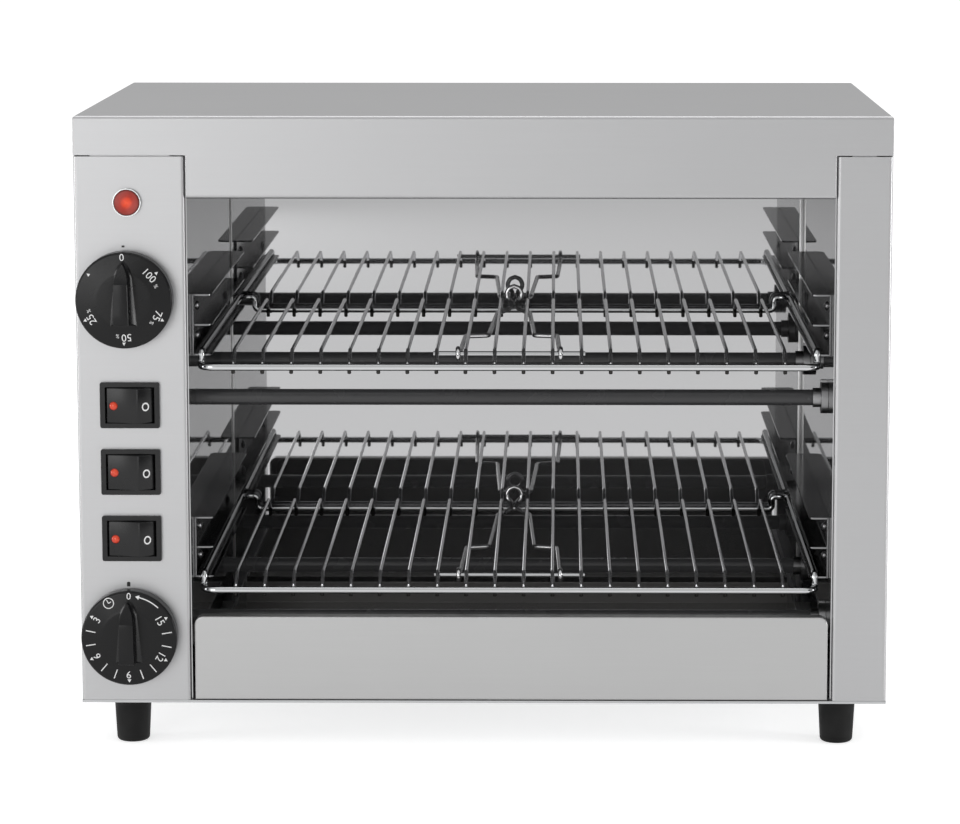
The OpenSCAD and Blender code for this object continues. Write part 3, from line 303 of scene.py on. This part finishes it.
def neon_plastic():
    """Small domed lens over a rocker's neon lamp, with painted light: orange where it faces the eye and deep
    red round its rim, a painted shade that follows the view, and a faint painted glow.
    """
    speck_mm = 1.2
    material, tree, shader = new_material("clear_red_neon_lens")
    shader.inputs["Roughness"].default_value = 0.16
    shader.inputs["IOR"].default_value = 1.49
    shader.inputs["Specular IOR Level"].default_value = 0.45
    # painted shade by the angle of view: orange where the lens faces the eye, deep red towards its rim
    slant = add(tree, "LayerWeight", {"Blend": 0.5})
    painted_light_ramp = add(tree, "ValToRGB", links={"Fac": slant.outputs["Facing"]})
    ramp = painted_light_ramp.color_ramp
    ramp.elements[0].color, ramp.elements[1].color = linear("#d8421e"), linear("#3c0c0a")
    for spot, colour in ((0.3, "#c4341a"), (0.6, "#7c1a12")):
        ramp.elements.new(spot).color = linear(colour)
    place = add(tree, "TexCoord")
    speckle = add(tree, "TexNoise", {"Scale": 1 / (speck_mm * MM), "Detail": 1.0},
                  {"Vector": place.outputs["Object"]})
    shade = add(tree, "MapRange", {"To Min": 0.75, "To Max": 1.2}, {"Value": speckle.outputs["Fac"]})
    tint = add(tree, "Mix", {"data_type": "RGBA", "blend_type": "MULTIPLY", 0: 1.0},
               {6: painted_light_ramp.outputs[0], 7: shade.outputs[0]})
    tree.links.new(tint.outputs[2], shader.inputs["Base Color"])
    # painted glow: the lens gives off a faint light of its own tint
    tree.links.new(tint.outputs[2], shader.inputs["Emission Color"])
    shader.inputs["Emission Strength"].default_value = 0.06
    return material


lens_red = neon_plastic()

finishes = {
    casing_satin: ["top_cover", "left_casing", "right_casing", "rear_panel"],
    base_zinc: ["base_pan"],
    liner_mirror: ["liner_left", "liner_right", "liner_back", "liner_top"],
    shield_aluminised: ["heat_shield"],
    quartz: [f"heater_{level}_{row}" for level in ("top", "middle", "bottom") for row in ("front", "rear")],
    coil_wire: ["heater_coils"],
    end_cap: ["heater_caps_left", "heater_caps_right"],
    rail_sheet: [f"rail_{level}_{side}" for level in ("upper", "lower") for side in ("left", "right")],
    turned_steel: ["rail_screws", "case_screws", "power_spindle", "timer_spindle"],
    chrome_wire: ["upper_rack_wires", "lower_rack_wires"],
    chrome_bar: [f"{level}_{part}" for level in ("upper", "lower") for part in ("rack_frame", "hinge_bar")],
    drawn_wire: ["upper_handle", "lower_handle"],
    tray_satin: ["tray_front"],
    pan_sheet: ["tray_pan"],
    dial_black: ["power_knob", "timer_knob"],
    mechanism_black: ["power_regulator", "timer_movement"],
    switch_black: [f"{part}_{row}" for part in ("switch", "rocker") for row in ("upper", "middle", "lower")],
    lens_red: [f"rocker_lens_{row}" for row in ("upper", "middle", "lower")],
    lamp_red: ["lamp_lens"],
    lamp_ring_chrome: ["lamp_ring"],
    holder_ivory: ["lamp_holder"],
    terminal_ivory: ["terminal_block"],
    gland_nylon: ["cable_gland"],
    rubber: [f"foot_{row}_{side}" for row in ("front", "rear") for side in ("left", "right")],
}
for finish, names in finishes.items():
    for name in names:
        mesh = nodes[name].data
        mesh.materials.clear()
        mesh.materials.append(finish)


# ------------------------------------------------------------------ mesh tools

def placed(name, data):
    """An object of that data, put in the scene."""
    made = bpy.data.objects.new(name, data)
    bpy.context.scene.collection.objects.link(made)
    return made


def piece(name, mesh, material, body):
    """A new object of the model, riding on its body."""
    made = placed(name, mesh)
    mesh.materials.append(material)
    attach(made, body)
    return made


def finished(name, bm):
    """The mesh of a bmesh that needs no more work."""
    mesh = bpy.data.meshes.new(name)
    bm.to_mesh(mesh)
    bm.free()
    return mesh


def bridge(bm, rings):
    """Faces between neighbouring rings of vertices. A ring of one vertex is a point on the axis."""
    for one, two in zip(rings, rings[1:]):
        count = max(len(one), len(two))
        for k in range(count):
            m = (k + 1) % count
            corners = [one[0]] if len(one) == 1 else [one[k], one[m]]
            corners += [two[0]] if len(two) == 1 else [two[m], two[k]]
            bm.faces.new(corners)


def depth_on(mesh):
    """Function that gives the frontmost depth of a mesh at a place on the front."""
    tree = BVHTree.FromPolygons([v.co for v in mesh.vertices], [tuple(p.vertices) for p in mesh.polygons])

    def depth(x, z):
        hit = tree.ray_cast(Vector((x, -1.0, z)), Vector((0, 1, 0)))[0]
        return hit.y if hit else None
    return depth


def rounded(points, radius, steps=5):
    """The polyline with each inner corner replaced by an arc of about that radius."""
    points = [Vector(p) for p in points]
    least_turn, longest_cut = 0.02, 0.49
    line = [points[0]]
    for before, corner, after in zip(points, points[1:], points[2:]):
        a, b = (before - corner), (after - corner)
        turn = math.pi - a.angle(b)
        if turn < least_turn:
            line.append(corner)
            continue
        cut = min(radius * math.tan(turn / 2), a.length * longest_cut, b.length * longest_cut)
        start, end = corner + a.normalized() * cut, corner + b.normalized() * cut
        for i in range(steps + 1):
            t = i / steps
            line.append(start * (1 - t) ** 2 + corner * 2 * t * (1 - t) + end * t ** 2)
    line.append(points[-1])
    return line


def wire_mesh(name, lines, diameter, sides=12):
    """Round wires along the lines, with softly rounded ends."""
    bm = bmesh.new()
    r = diameter / 2
    end_reach = r * 0.45
    end_rings = ((1, 0.35), (0.7, 0.75))  # share of the reach, share of the radius
    for line in lines:
        line = [Vector(p) for p in line]
        tangents = []
        for i in range(len(line)):
            ahead = line[min(i + 1, len(line) - 1)] - line[max(i - 1, 0)]
            tangents.append(ahead.normalized())
        side = tangents[0].orthogonal().normalized()
        start, end = line[0], line[-1]
        first = [(start - tangents[0] * end_reach * s, tangents[0], w) for s, w in end_rings]
        last = [(end + tangents[-1] * end_reach * s, tangents[-1], w) for s, w in reversed(end_rings)]
        stations = first + [(p, t, 1.0) for p, t in zip(line, tangents)] + last
        rings = []
        for centre, tangent, width in stations:
            side = (side - tangent * side.dot(tangent)).normalized()
            up = tangent.cross(side)
            rings.append([bm.verts.new(centre + (side * math.cos(a) + up * math.sin(a)) * r * width)
                          for a in (2 * math.pi * k / sides for k in range(sides))])
        bridge(bm, rings)
        bm.faces.new(list(reversed(rings[0])))
        bm.faces.new(rings[-1])
    for face in bm.faces:
        face.smooth = True
    bmesh.ops.recalc_face_normals(bm, faces=bm.faces)
    return finished(name, bm)


def turned_mesh(name, profile, steps):
    """Solid of revolution: profile of (radius, depth), depth along local Z, closed on the axis."""
    bm = bmesh.new()
    on_axis = 1e-7
    rings = []
    for radius, depth in profile:
        if radius < on_axis:
            rings.append([bm.verts.new((0, 0, depth))])
        else:
            rings.append([bm.verts.new((radius * math.cos(a), radius * math.sin(a), depth))
                          for a in (2 * math.pi * k / steps for k in range(steps))])
    bridge(bm, rings)
    for face in bm.faces:
        face.smooth = True
    bmesh.ops.recalc_face_normals(bm, faces=bm.faces)
    return finished(name, bm)


def glyph(text, height):
    """Points and faces of a text, middle at the origin, digits of that height."""
    curve = bpy.data.curves.new("glyph", "FONT")
    curve.body = text
    curve.align_x, curve.align_y = "CENTER", "CENTER"
    curve.resolution_u = 3
    holder = placed("glyph", curve)
    bpy.context.view_layer.update()
    flat = bpy.data.meshes.new_from_object(holder.evaluated_get(bpy.context.evaluated_depsgraph_get()))
    bpy.data.objects.remove(holder)
    xs, ys = [v.co.x for v in flat.vertices], [v.co.y for v in flat.vertices]
    scale = height / (max(ys) - min(ys))
    cx, cy = (max(xs) + min(xs)) / 2, (max(ys) + min(ys)) / 2
    points = [((v.co.x - cx) * scale, (v.co.y - cy) * scale) for v in flat.vertices]
    faces = [tuple(p.vertices) for p in flat.polygons]
    bpy.data.meshes.remove(flat)
    return points, faces


class Print:
    """Ink on a face: shapes in millimetres, placed by a clockwise turn from the top and a radius."""

    def __init__(self, name, centre, mesh, depth=0.05):
        self.name, self.centre, self.depth = name, Vector(centre), depth * MM
        self.surface = depth_on(mesh)
        self.bm = bmesh.new()

    def place(self, x, y, turn, radius):
        """A point of a shape, x to its right and y outwards, at the turn and radius."""
        a = math.radians(turn)
        y += radius
        to_right, up = x * math.cos(a) + y * math.sin(a), y * math.cos(a) - x * math.sin(a)
        spot = self.centre + Vector((to_right, 0, up)) * MM
        depth = self.surface(spot.x, spot.z)
        if depth is not None:
            spot.y = depth
        return spot

    def shape(self, points, faces, turn=0, radius=0):
        """A flat shape of several faces, laid on the surface."""
        proud = Vector((0, -self.depth, 0))
        front = [self.bm.verts.new(self.place(x, y, turn, radius) + proud) for x, y in points]
        for face in faces:
            self.bm.faces.new([front[i] for i in face])

    def text(self, body, height, turn, radius):
        """Digits or a sign. Its top points away from the centre."""
        points, faces = glyph(body, height)
        self.shape(points, faces, turn, radius)

    def polygon(self, points, turn=0, radius=0):
        """A shape of one face."""
        self.shape(points, [range(len(points))], turn, radius)

    def arrow(self, turn, radius, w, h):
        """A triangle that points outwards."""
        self.polygon([(-w / 2, -h / 2), (w / 2, -h / 2), (0, h / 2)], turn, radius)

    def arc(self, inner, outer, start, end, turn=0, radius=0, steps=24, squeeze=1.0):
        """Part of a ring round a point that lies at the turn and radius."""
        points = []
        for r in (inner, outer):
            for i in range(steps + 1):
                a = math.radians(start + (end - start) * i / steps)
                points.append((r * math.sin(a) * squeeze, r * math.cos(a)))
        n = steps + 1
        self.shape(points, [(i, i + 1, n + i + 1, n + i) for i in range(steps)], turn, radius)

    def done(self, material, body):
        """The piece: each shape becomes a thin plate whose back lies just proud of the surface."""
        plate_share = 0.98
        bmesh.ops.recalc_face_normals(self.bm, faces=self.bm.faces)
        for face in self.bm.faces:
            if face.normal.y > 0:
                face.normal_flip()
        solid = bmesh.ops.extrude_face_region(self.bm, geom=self.bm.faces[:])
        moved = [v for v in solid["geom"] if isinstance(v, bmesh.types.BMVert)]
        bmesh.ops.translate(self.bm, verts=moved, vec=(0, self.depth * plate_share, 0))
        bmesh.ops.recalc_face_normals(self.bm, faces=self.bm.faces)
        return piece(self.name, finished(self.name, self.bm), material, body)


# ------------------------------------------------------------------ dials
# Sizes in millimetres: x to the right, z up, h forward from the dial's back.

def grip_solid(bm, centre):
    """Grip bar with a pointed upper end. Its walls end in a sloping foot, widest at the lower end."""
    base, top = 9.4, 23.0                       # h of the dial's face and of the grip's top
    low, shoulder, tip = -12.2, 12.6, 21.2      # z of the lower end, of the shoulder and of the point
    low_half, high_half = 4.7, 4.1              # half widths at the lower end and at the shoulder
    wide_foot, narrow_foot = 2.7, 0.9           # size of the foot at the lower end and at the point
    foot_slope, foot_curve = 0.78, 0.2          # height of the foot for its size, straight and curved share
    end_pull, draft = 0.6, 0.35                 # share of the foot under the lower end, taper of the walls
    point_swell, point_steps = 0.7, 8           # outward curve of the point's sides
    facet_top, facet_foot = Vector((0, -top, 10.6)), Vector((0, -(base + 4.5), 21.4))
    sharp_angle, sharp_from, edge_round = 0.4, base + 3.5, 0.45     # edges that are rounded, and by how much
    # one side of the outline at the foot of the wall, with the size of the foot below each point
    side = [(low_half + (high_half - low_half) * t, low + (shoulder - low) * t,
             wide_foot + (narrow_foot - wide_foot) * t) for t in (0, 0.25, 0.5, 0.75, 1)]
    for k in range(1, point_steps):
        t = k / point_steps
        side.append((high_half * (1 - t) + point_swell * math.sin(math.pi * t),
                     shoulder + (tip - shoulder) * t, narrow_foot))
    whole = side + [(0.0, tip, narrow_foot)] + [(-x, z, foot) for x, z, foot in reversed(side)]
    rings = []
    # from the rim of the foot up to the wall, then None for the top
    for t in (0, 0.2, 0.4, 0.6, 0.8, 1, None):
        ring = []
        for x, z, foot in whole:
            h = top if t is None else base + foot * (foot_slope * t + foot_curve * t * t)
            wide = -draft if t is None else foot * (1 - t)
            up = wide if z > shoulder else -end_pull * wide if z == low else 0.0
            reach = Vector((wide * min(1.0, abs(x) / 2) * (1 if x > 0 else -1), 0, up))
            ring.append(bm.verts.new(centre + (Vector((x, -h, z)) + reach) * MM))
        rings.append(ring)
    bridge(bm, rings)
    bm.faces.new(rings[0])
    bm.faces.new(rings[-1])
    # facet from the flat top down to the point
    slope = facet_foot - facet_top
    normal = Vector((0, -slope.z, slope.y)).normalized()
    cut = bmesh.ops.bisect_plane(bm, geom=bm.verts[:] + bm.edges[:] + bm.faces[:],
                                 plane_co=centre + facet_top * MM, plane_no=normal, clear_outer=True)
    rim = [e for e in cut["geom_cut"] if isinstance(e, bmesh.types.BMEdge)]
    bmesh.ops.contextual_create(bm, geom=rim)
    bmesh.ops.recalc_face_normals(bm, faces=bm.faces)
    sharp = [e for e in bm.edges if len(e.link_faces) == 2 and e.calc_face_angle() > sharp_angle
             and max(v.co.y for v in e.verts) < centre.y - sharp_from * MM]
    bmesh.ops.bevel(bm, geom=sharp, offset=edge_round * MM, segments=3, profile=0.5, affect="EDGES",
                    clamp_overlap=True)


def skirt_solid(bm, centre, steps=120):
    """Hollow skirt: a flat middle, a slightly sloping outer ring and a rounded rim."""
    hub, inside, outside = 6.5, 24.7, 26.7      # radii of the hub and of the skirt's wall
    hollow, face = 7.0, 9.5                     # depth of the hollow back and height of the face
    rim_round, rim_mid, rim_h = 1.4, 25.3, 7.3  # rounding of the rim, and where it turns
    rim = [(rim_mid + rim_round * math.cos(a), rim_h + rim_round * math.sin(a))
           for a in (math.pi / 2 * k / 6 for k in range(7))]
    fall = [(16.6, 9.28), (15.9, 9.38), (15.2, 9.46), (14.6, face)]
    profile = [(0, 0), (hub, 0), (hub, hollow), (inside, hollow), (inside, 0), (outside, 0)]
    rings = []
    for r, h in profile + rim + fall + [(0, face)]:
        turns = [0.0] if r == 0 else [2 * math.pi * k / steps for k in range(steps)]
        rings.append([bm.verts.new(centre + Vector((r * math.cos(a), -h, r * math.sin(a))) * MM)
                      for a in turns])
    bridge(bm, rings)
    bmesh.ops.recalc_face_normals(bm, faces=bm.faces)


def solid_object(name, build, centre):
    """An object of one solid, for joining."""
    bm = bmesh.new()
    build(bm, centre)
    return placed(name, finished(name, bm))


def dial(name, body):
    """One dial: skirt and grip joined into a single solid, in place of the plain one."""
    panel_gap, sharp_angle = 1.2, 20
    axis = mid(name.replace("_dial", "_spindle"))
    centre = Vector((axis.x, front_y - panel_gap * MM, axis.z))
    skirt = solid_object(f"{name}_skirt", skirt_solid, centre)
    grip = solid_object(f"{name}_grip", grip_solid, centre)
    union = skirt.modifiers.new("joined", "BOOLEAN")
    union.operation, union.solver, union.object = "UNION", "EXACT", grip
    mesh = bpy.data.meshes.new_from_object(skirt.evaluated_get(bpy.context.evaluated_depsgraph_get()))
    mesh.name = f"{name}_moulding"
    for spare in (skirt, grip):
        bpy.data.objects.remove(spare)
    mesh.materials.clear()
    mesh.shade_smooth()
    mesh.set_sharp_from_angle(angle=math.radians(sharp_angle))
    made = piece(f"{name}_moulding", mesh, dial_black, body)
    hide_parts(body)
    return mesh, centre


digit_h, percent_h, arrow_h = 4.1, 2.1, 1.8
arrow_radius = 24.1

power_mesh, power_centre = dial("power_dial", "power_knob")
power = Print("power_dial_print", power_centre, power_mesh)
power.text("0", 3.9, -1.5, 23.9)
# number, its turn and radius, turn and radius of its percent sign
power_numbers = (("100", 47, 20.1, 66, 19.7), ("75", 114, 20.4, 128.4, 19.6),
                 ("50", 176, 20.6, 190, 20.0), ("25", 239.4, 20.5, 253.4, 19.9))
for number, turn, radius, sign_turn, sign_radius in power_numbers:
    power.text(number, digit_h, turn, radius)
    power.text("%", percent_h, sign_turn, sign_radius)
for turn in (50.3, 117, 180, 242.6, 307):
    power.arrow(turn, arrow_radius, 1.9, arrow_h)
power.done(print_white, "power_knob")

timer_mesh, timer_centre = dial("timer_dial", "timer_knob")
timer = Print("timer_dial_print", timer_centre, timer_mesh)
timer.text("0", 3.7, 0.6, 24.0)
timer_numbers = (("15", 60.5, 20.2), ("12", 121.5, 20.4), ("9", 180.8, 20.6), ("6", 240.5, 20.5),
                 ("3", 300.8, 20.5))
for number, turn, radius in timer_numbers:
    timer.text(number, digit_h, turn, radius)
for turn in (61, 121, 180, 240.7, 301):
    timer.arrow(turn, arrow_radius, 2.1, arrow_h)
# minute strokes, two between each pair of numbers
half_stroke_w, half_stroke_h, stroke_radius = 0.28, 2.75, 21.5
stroke = [(x * half_stroke_w, z * half_stroke_h) for x, z in ((-1, -1), (1, -1), (1, 1), (-1, 1))]
for turn in (81.5, 101.9, 141.5, 161, 200.6, 220.3, 260.2, 280.7):
    timer.polygon(stroke, turn, stroke_radius)
# clock face with its hands at eleven and two, upright when the dial is at zero
clock_turn, clock_radius, hand_half = -28.8, 22.8, 0.22
timer.arc(2.6, 3.1, 0, 360, clock_turn, clock_radius, 40)
for hand, length in ((-30, 2.1), (58, 1.7)):
    tilt = math.radians(hand - clock_turn)
    along = Vector((math.sin(tilt), math.cos(tilt)))
    across = Vector((along.y, -along.x)) * hand_half
    corners = (-across, across, across + along * length, -across + along * length)
    timer.polygon([tuple(corner) for corner in corners], clock_turn, clock_radius)
# arrow back to zero for use without the timer
timer.arc(23.7, 24.3, 14.0, 43.7)
timer.polygon([(0, -1.3), (0, 1.3), (-2.2, 0)], 14.5, 24.0)
timer.done(print_white, "timer_knob")

# index marks over both dials: a short dash and a small tab
index = Print("panel_index_marks", (power_centre.x, front_y, power_centre.z), nodes["left_casing"].data)
index.polygon([(-1.7, 28.3), (-0.1, 28.3), (-0.1, 29.4), (-1.7, 29.4)])
dial_pitch = (power_centre.z - timer_centre.z) / MM
tab_x, tab_z = -0.8, 28.8 - dial_pitch
tab = ((-0.95, -1.3), (0.95, -1.3), (0.95, 0.9), (0.55, 1.35), (-0.55, 1.35), (-0.95, 0.9))
index.polygon([(x + tab_x, z + tab_z) for x, z in tab])
index.done(print_black, "chassis")

# ------------------------------------------------------------------ rockers
# Sizes in millimetres from a rocker's middle: x to the right, z up, heights forward from the panel.

half_w, half_h = 12.8, 9.8      # half width and half height of a rocker
ridge_x, ridge_h = 4.8, 6.0     # place and height of the ridge between its two faces
left_h, right_h = 2.0, 0.8      # heights of its left and right ends
hollow_power = 1.7              # how hollow the wide face is, where 1 is flat


def face_depth(x):
    """Depth of the rocker's front at x: hollow wide face up to the ridge, then the steep narrow face."""
    if x > ridge_x:
        return -(ridge_h + (right_h - ridge_h) * (x - ridge_x) / (half_w - ridge_x))
    return -(left_h + (ridge_h - left_h) * ((x + half_w) / (ridge_x + half_w)) ** hollow_power)


def rocker_mesh(name, hub):
    """Rocker with a ridge, two faces, rounded front edges and a tapered back inside its housing."""
    wide_steps, edge_angle, edge_round, edge_limit, sharp_angle = 14, 0.6, 0.5, 0.5, 24
    back = [(12.4, 1.5), (6, 6), (-6, 6), (-12.2, 1.5)]     # x and depth behind the panel
    xs = [-half_w + (ridge_x + half_w) * k / wide_steps for k in range(wide_steps + 1)] + [half_w]
    outline = [(x, face_depth(x)) for x in xs] + back
    bm = bmesh.new()
    ends = [[bm.verts.new((hub.x + x * MM, front_y + y * MM, hub.z + side * half_h * MM))
             for x, y in outline] for side in (-1, 1)]
    bridge(bm, ends)
    bm.faces.new(ends[0])
    bm.faces.new(ends[1])
    bmesh.ops.recalc_face_normals(bm, faces=bm.faces)
    rim = [e for e in bm.edges if e.calc_face_angle() > edge_angle
           and max(v.co.y for v in e.verts) < front_y + edge_limit * MM]
    bmesh.ops.bevel(bm, geom=rim, offset=edge_round * MM, segments=4, profile=0.5, affect="EDGES",
                    clamp_overlap=True)
    mesh = finished(name, bm)
    mesh.shade_smooth()
    mesh.set_sharp_from_angle(angle=math.radians(sharp_angle))
    return mesh


def lens_mesh(name, hub):
    """Domed lens, standing a little proud of the wide face and leaning with it."""
    lens_x, lens_z, lens_r, dome_h, sunk, back = -9.0, -0.3, 2.48, 1.7, 0.3, 1.6
    dome = [(lens_r * math.sin(a), sunk - dome_h * math.cos(a))
            for a in (math.pi / 2 * k / 10 for k in range(11))]
    dome += [(lens_r, back), (0.0, back)]
    mesh = turned_mesh(name, [(r * MM, h * MM) for r, h in dome], steps=36)
    lean = math.atan2(face_depth(lens_x + 1) - face_depth(lens_x - 1), 2.0)
    spot = Vector((hub.x + lens_x * MM, front_y + face_depth(lens_x) * MM, hub.z + lens_z * MM))
    mesh.transform(Matrix.Translation(spot) @ Matrix.Rotation(lean, 4, "Z")
                   @ Matrix.Rotation(math.radians(-90), 4, "X"))
    return mesh


off_x, off_z = 8.9, -0.6        # middle of the off mark
for row in ("upper", "middle", "lower"):
    body = f"rocker_{row}"
    hub = mid(body)
    rocker = piece(f"{body}_moulding", rocker_mesh(f"{body}_moulding", hub),
                   switch_black, body)
    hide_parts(body)
    lens = piece(f"{body}_dome", lens_mesh(f"{body}_dome", hub), lens_red, body)
    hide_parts(f"rocker_lens_{row}")
    off = Print(f"{body}_off_mark", (hub.x + off_x * MM, front_y, hub.z + off_z * MM), rocker.data)
    off.arc(1.6, 2.4, 0, 360, steps=36, squeeze=0.77)
    off.done(print_white, body)

# ------------------------------------------------------------------ racks

def local(x, y, z):
    """A point given in millimetres from the rack's middle, the front plane and the table."""
    return Vector((rack_x + x * MM, front_y + y * MM, z * MM))


# Sizes of the lower rack in millimetres. The upper one is the same, higher by the pitch.
wire_d, wire_bend, wire_span, wire_count = 2.2, 5, 307.2, 20
# below this height the cross wires take the painted shade of their lower ends
painted_shade_below = 89.5
# y and z of a cross wire: level over the rack, bent down behind the front and rear bars
wire_path = [(13.4, 84.6), (13.4, 88.9), (23.4, 96.2), (247.8, 96.2), (257.8, 88.9), (257.8, 84.6)]
handle_d, handle_bend = 2.8, 3
eye_x, eye_y, eye_z, eye_r = 28.7, 27, 93.7, 2.85


def rack_lines(lift):
    """The cross wires of a rack."""
    lines = []
    for i in range(wire_count):
        x = -wire_span / 2 + i * wire_span / (wire_count - 1)
        lines.append(rounded([local(x, y, z + lift) for y, z in wire_path], wire_bend * MM))
    return lines


def handle_line(side):
    """One arm of a handle: most of a ring round the hinge bar, then out to the finger loop's middle."""
    eye = [(eye_x * side, eye_y + eye_r * math.sin(a), eye_z - eye_r * math.cos(a))
           for a in (math.radians(-270 + 15 * k) for k in range(18))]
    arm = [(28.7, 29, 90.9), (26.8, 120, 90.9), (13.4, 123.5, 90.9), (9.9, 225, 90.9), (6.5, 232, 91.0),
           (2.0, 238, 92.4), (1.7, 241.5, 96.0), (4.2, 243, 98.0), (4.7, 243.2, 101.0), (3.2, 243.2, 104.0),
           (0.0, 243.2, 105.3)]
    return eye + [(x * side, y, z) for x, y, z in arm]


for level, lift in (("lower", 0.0), ("upper", level_pitch / MM)):
    wires = piece(f"{level}_cross_wires", wire_mesh(f"{level}_cross_wires", rack_lines(lift), wire_d * MM),
                  chrome_wire, f"{level}_rack")
    # faces of the lower ends take the painted shade
    wires.data.materials.append(painted_shade_wire)
    for face in wires.data.polygons:
        if face.center.z < (painted_shade_below + lift) * MM:
            face.material_index = 1
    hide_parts(f"{level}_rack_wires")
    halves = [rounded([local(x, y, z + lift) for x, y, z in handle_line(side)], handle_bend * MM)
              for side in (-1, 1)]
    whole = halves[0] + list(reversed(halves[1]))[1:]
    handle = piece(f"{level}_wire_handle", wire_mesh(f"{level}_wire_handle", [whole], handle_d * MM),
                   drawn_wire, f"{level}_handle")
    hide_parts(f"{level}_handle")

# ------------------------------------------------------------------ liner flanges

def flange(name, x0, x1):
    """Narrow satin flange of a side wall, lapped over the back wall from floor to ceiling, pale as a painted
    highlight.
    """
    sheet, edge_round = 0.9, 0.08
    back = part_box("liner_back")[0].y
    low = Vector((x0, back - sheet * MM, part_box("liner_back")[0].z))
    high = Vector((x1, back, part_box("liner_top")[0].z))
    bm = bmesh.new()
    bmesh.ops.create_cube(bm, size=1.0)
    for v in bm.verts:
        v.co = Vector([low[i] + (v.co[i] + 0.5) * (high[i] - low[i]) for i in range(3)])
    bmesh.ops.bevel(bm, geom=bm.edges[:], offset=edge_round * MM, segments=2, profile=0.5, affect="EDGES")
    mesh = finished(name, bm)
    mesh.shade_smooth()
    return piece(name, mesh, painted_highlight_flange, "chassis")


right_wall, left_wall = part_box("liner_right")[0].x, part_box("liner_left")[1].x
right_flange_w, left_flange_w = 1.9, 0.8
flange("right_liner_flange", right_wall - right_flange_w * MM, right_wall)
flange("left_liner_flange", left_wall, left_wall + left_flange_w * MM)

# ------------------------------------------------------------------ stage

aim = Vector((0.0, 0.0, 0.18))


def area_lamp(name, place, size, power_w):
    """A soft lamp that looks at the aim."""
    data = bpy.data.lights.new(name, "AREA")
    data.shape, data.size, data.size_y, data.energy = "RECTANGLE", size[0], size[1], power_w
    lamp = placed(name, data)
    lamp.visible_camera = False
    lamp.location = place
    lamp.rotation_euler = (aim - Vector(place)).to_track_quat("-Z", "Y").to_euler()


area_lamp("left_softbox", (-1.05, -2.3, 0.45), (1.2, 0.9), 11.8)
area_lamp("left_strip", (-1.6, -0.4, 0.3), (0.25, 0.55), 6)
area_lamp("right_strip", (1.5, -0.45, 0.28), (0.3, 0.55), 7.5)
area_lamp("top_softbox", (0.0, 0.2, 2.6), (2.4, 1.4), 27)


def sheet_mesh(name, corners, material):
    """One flat sheet of the stage."""
    mesh = bpy.data.meshes.new(name)
    mesh.from_pydata(corners, [], [(0, 1, 2, 3)])
    mesh.materials.append(material)
    return mesh


def seen_rays(tree):
    """1 for rays of the camera, of reflections and through glass, 0 for rays that light the object."""
    path = add(tree, "LightPath")
    seen = path.outputs["Is Camera Ray"]
    for other in ("Is Glossy Ray", "Is Transmission Ray"):
        seen = add(tree, "Math", {"operation": "MAXIMUM"}, {0: seen, 1: path.outputs[other]}).outputs[0]
    return seen


# Dull black cloth on a card at the right, which the camera doesn't see: it gives the bars and the switches
# their dark lines.
card_cloth, tree, shader = new_material("black_studio_cloth")
shader.inputs["Base Color"].default_value = linear("#0a0a0a")
shader.inputs["Roughness"].default_value = 1.0
shader.inputs["Specular IOR Level"].default_value = 0.0
card_corners = [(1.5, -1.7, 0.02), (2.1, -0.75, 0.02), (2.1, -0.75, 1.3), (1.5, -1.7, 1.3)]
card = placed("dark_card", sheet_mesh("dark_card", card_corners, card_cloth))
card.visible_camera = card.visible_shadow = card.visible_diffuse = False

# Pale matt floor that is white where it is seen and keeps the object's shadow.
floor_paint, tree, shader = new_material("pale_floor")
shader.inputs["Base Color"].default_value = linear("#e6e6e6")
shader.inputs["Roughness"].default_value = 0.9
shader.inputs["Specular IOR Level"].default_value = 0.1
shader.inputs["Emission Color"].default_value = linear("#ffffff")
floor_glow = 0.62
whitening = add(tree, "Math", {"operation": "MULTIPLY", 1: floor_glow}, {0: seen_rays(tree)})
tree.links.new(whitening.outputs[0], shader.inputs["Emission Strength"])
reach = 14.0
floor_corners = [(-reach, -reach, 0), (reach, -reach, 0), (reach, reach, 0), (-reach, reach, 0)]
floor = placed("floor", sheet_mesh("floor", floor_corners, floor_paint))

# White room: full white where it is seen or mirrored, softer as a light.
room_light, room_white = 0.6, 1.0
world = bpy.data.worlds.new("studio")
bpy.context.scene.world = world
world.use_nodes = True
tree = world.node_tree
tree.nodes.clear()
strength = add(tree, "MapRange", {"To Min": room_light, "To Max": room_white}, {"Value": seen_rays(tree)})
sky = add(tree, "Background", {"Color": linear("#ffffff")}, {"Strength": strength.outputs[0]})
add(tree, "OutputWorld", links={"Surface": sky.outputs[0]})

# ------------------------------------------------------------------ camera

camera_data = bpy.data.cameras.new("camera")
camera_data.sensor_width = 36.0
camera_data.lens = 134.92
camera_data.shift_x, camera_data.shift_y = -0.05, -0.05
camera_data.clip_start, camera_data.clip_end = 0.05, 60.0
camera = placed("camera", camera_data)
camera.location = (0.04161, -2.09994, 0.50212)
pitch, yaw = math.radians(8.22), math.radians(-0.49)
forward = Vector((math.sin(yaw) * math.cos(pitch), math.cos(yaw) * math.cos(pitch), -math.sin(pitch)))
right = Vector((math.cos(yaw), -math.sin(yaw), 0))
camera.rotation_euler = Matrix((right, right.cross(forward), -forward)).transposed().to_euler()
bpy.context.scene.camera = camera

bpy.context.scene.view_settings.view_transform = "Standard"

bpy.context.view_layer.update()
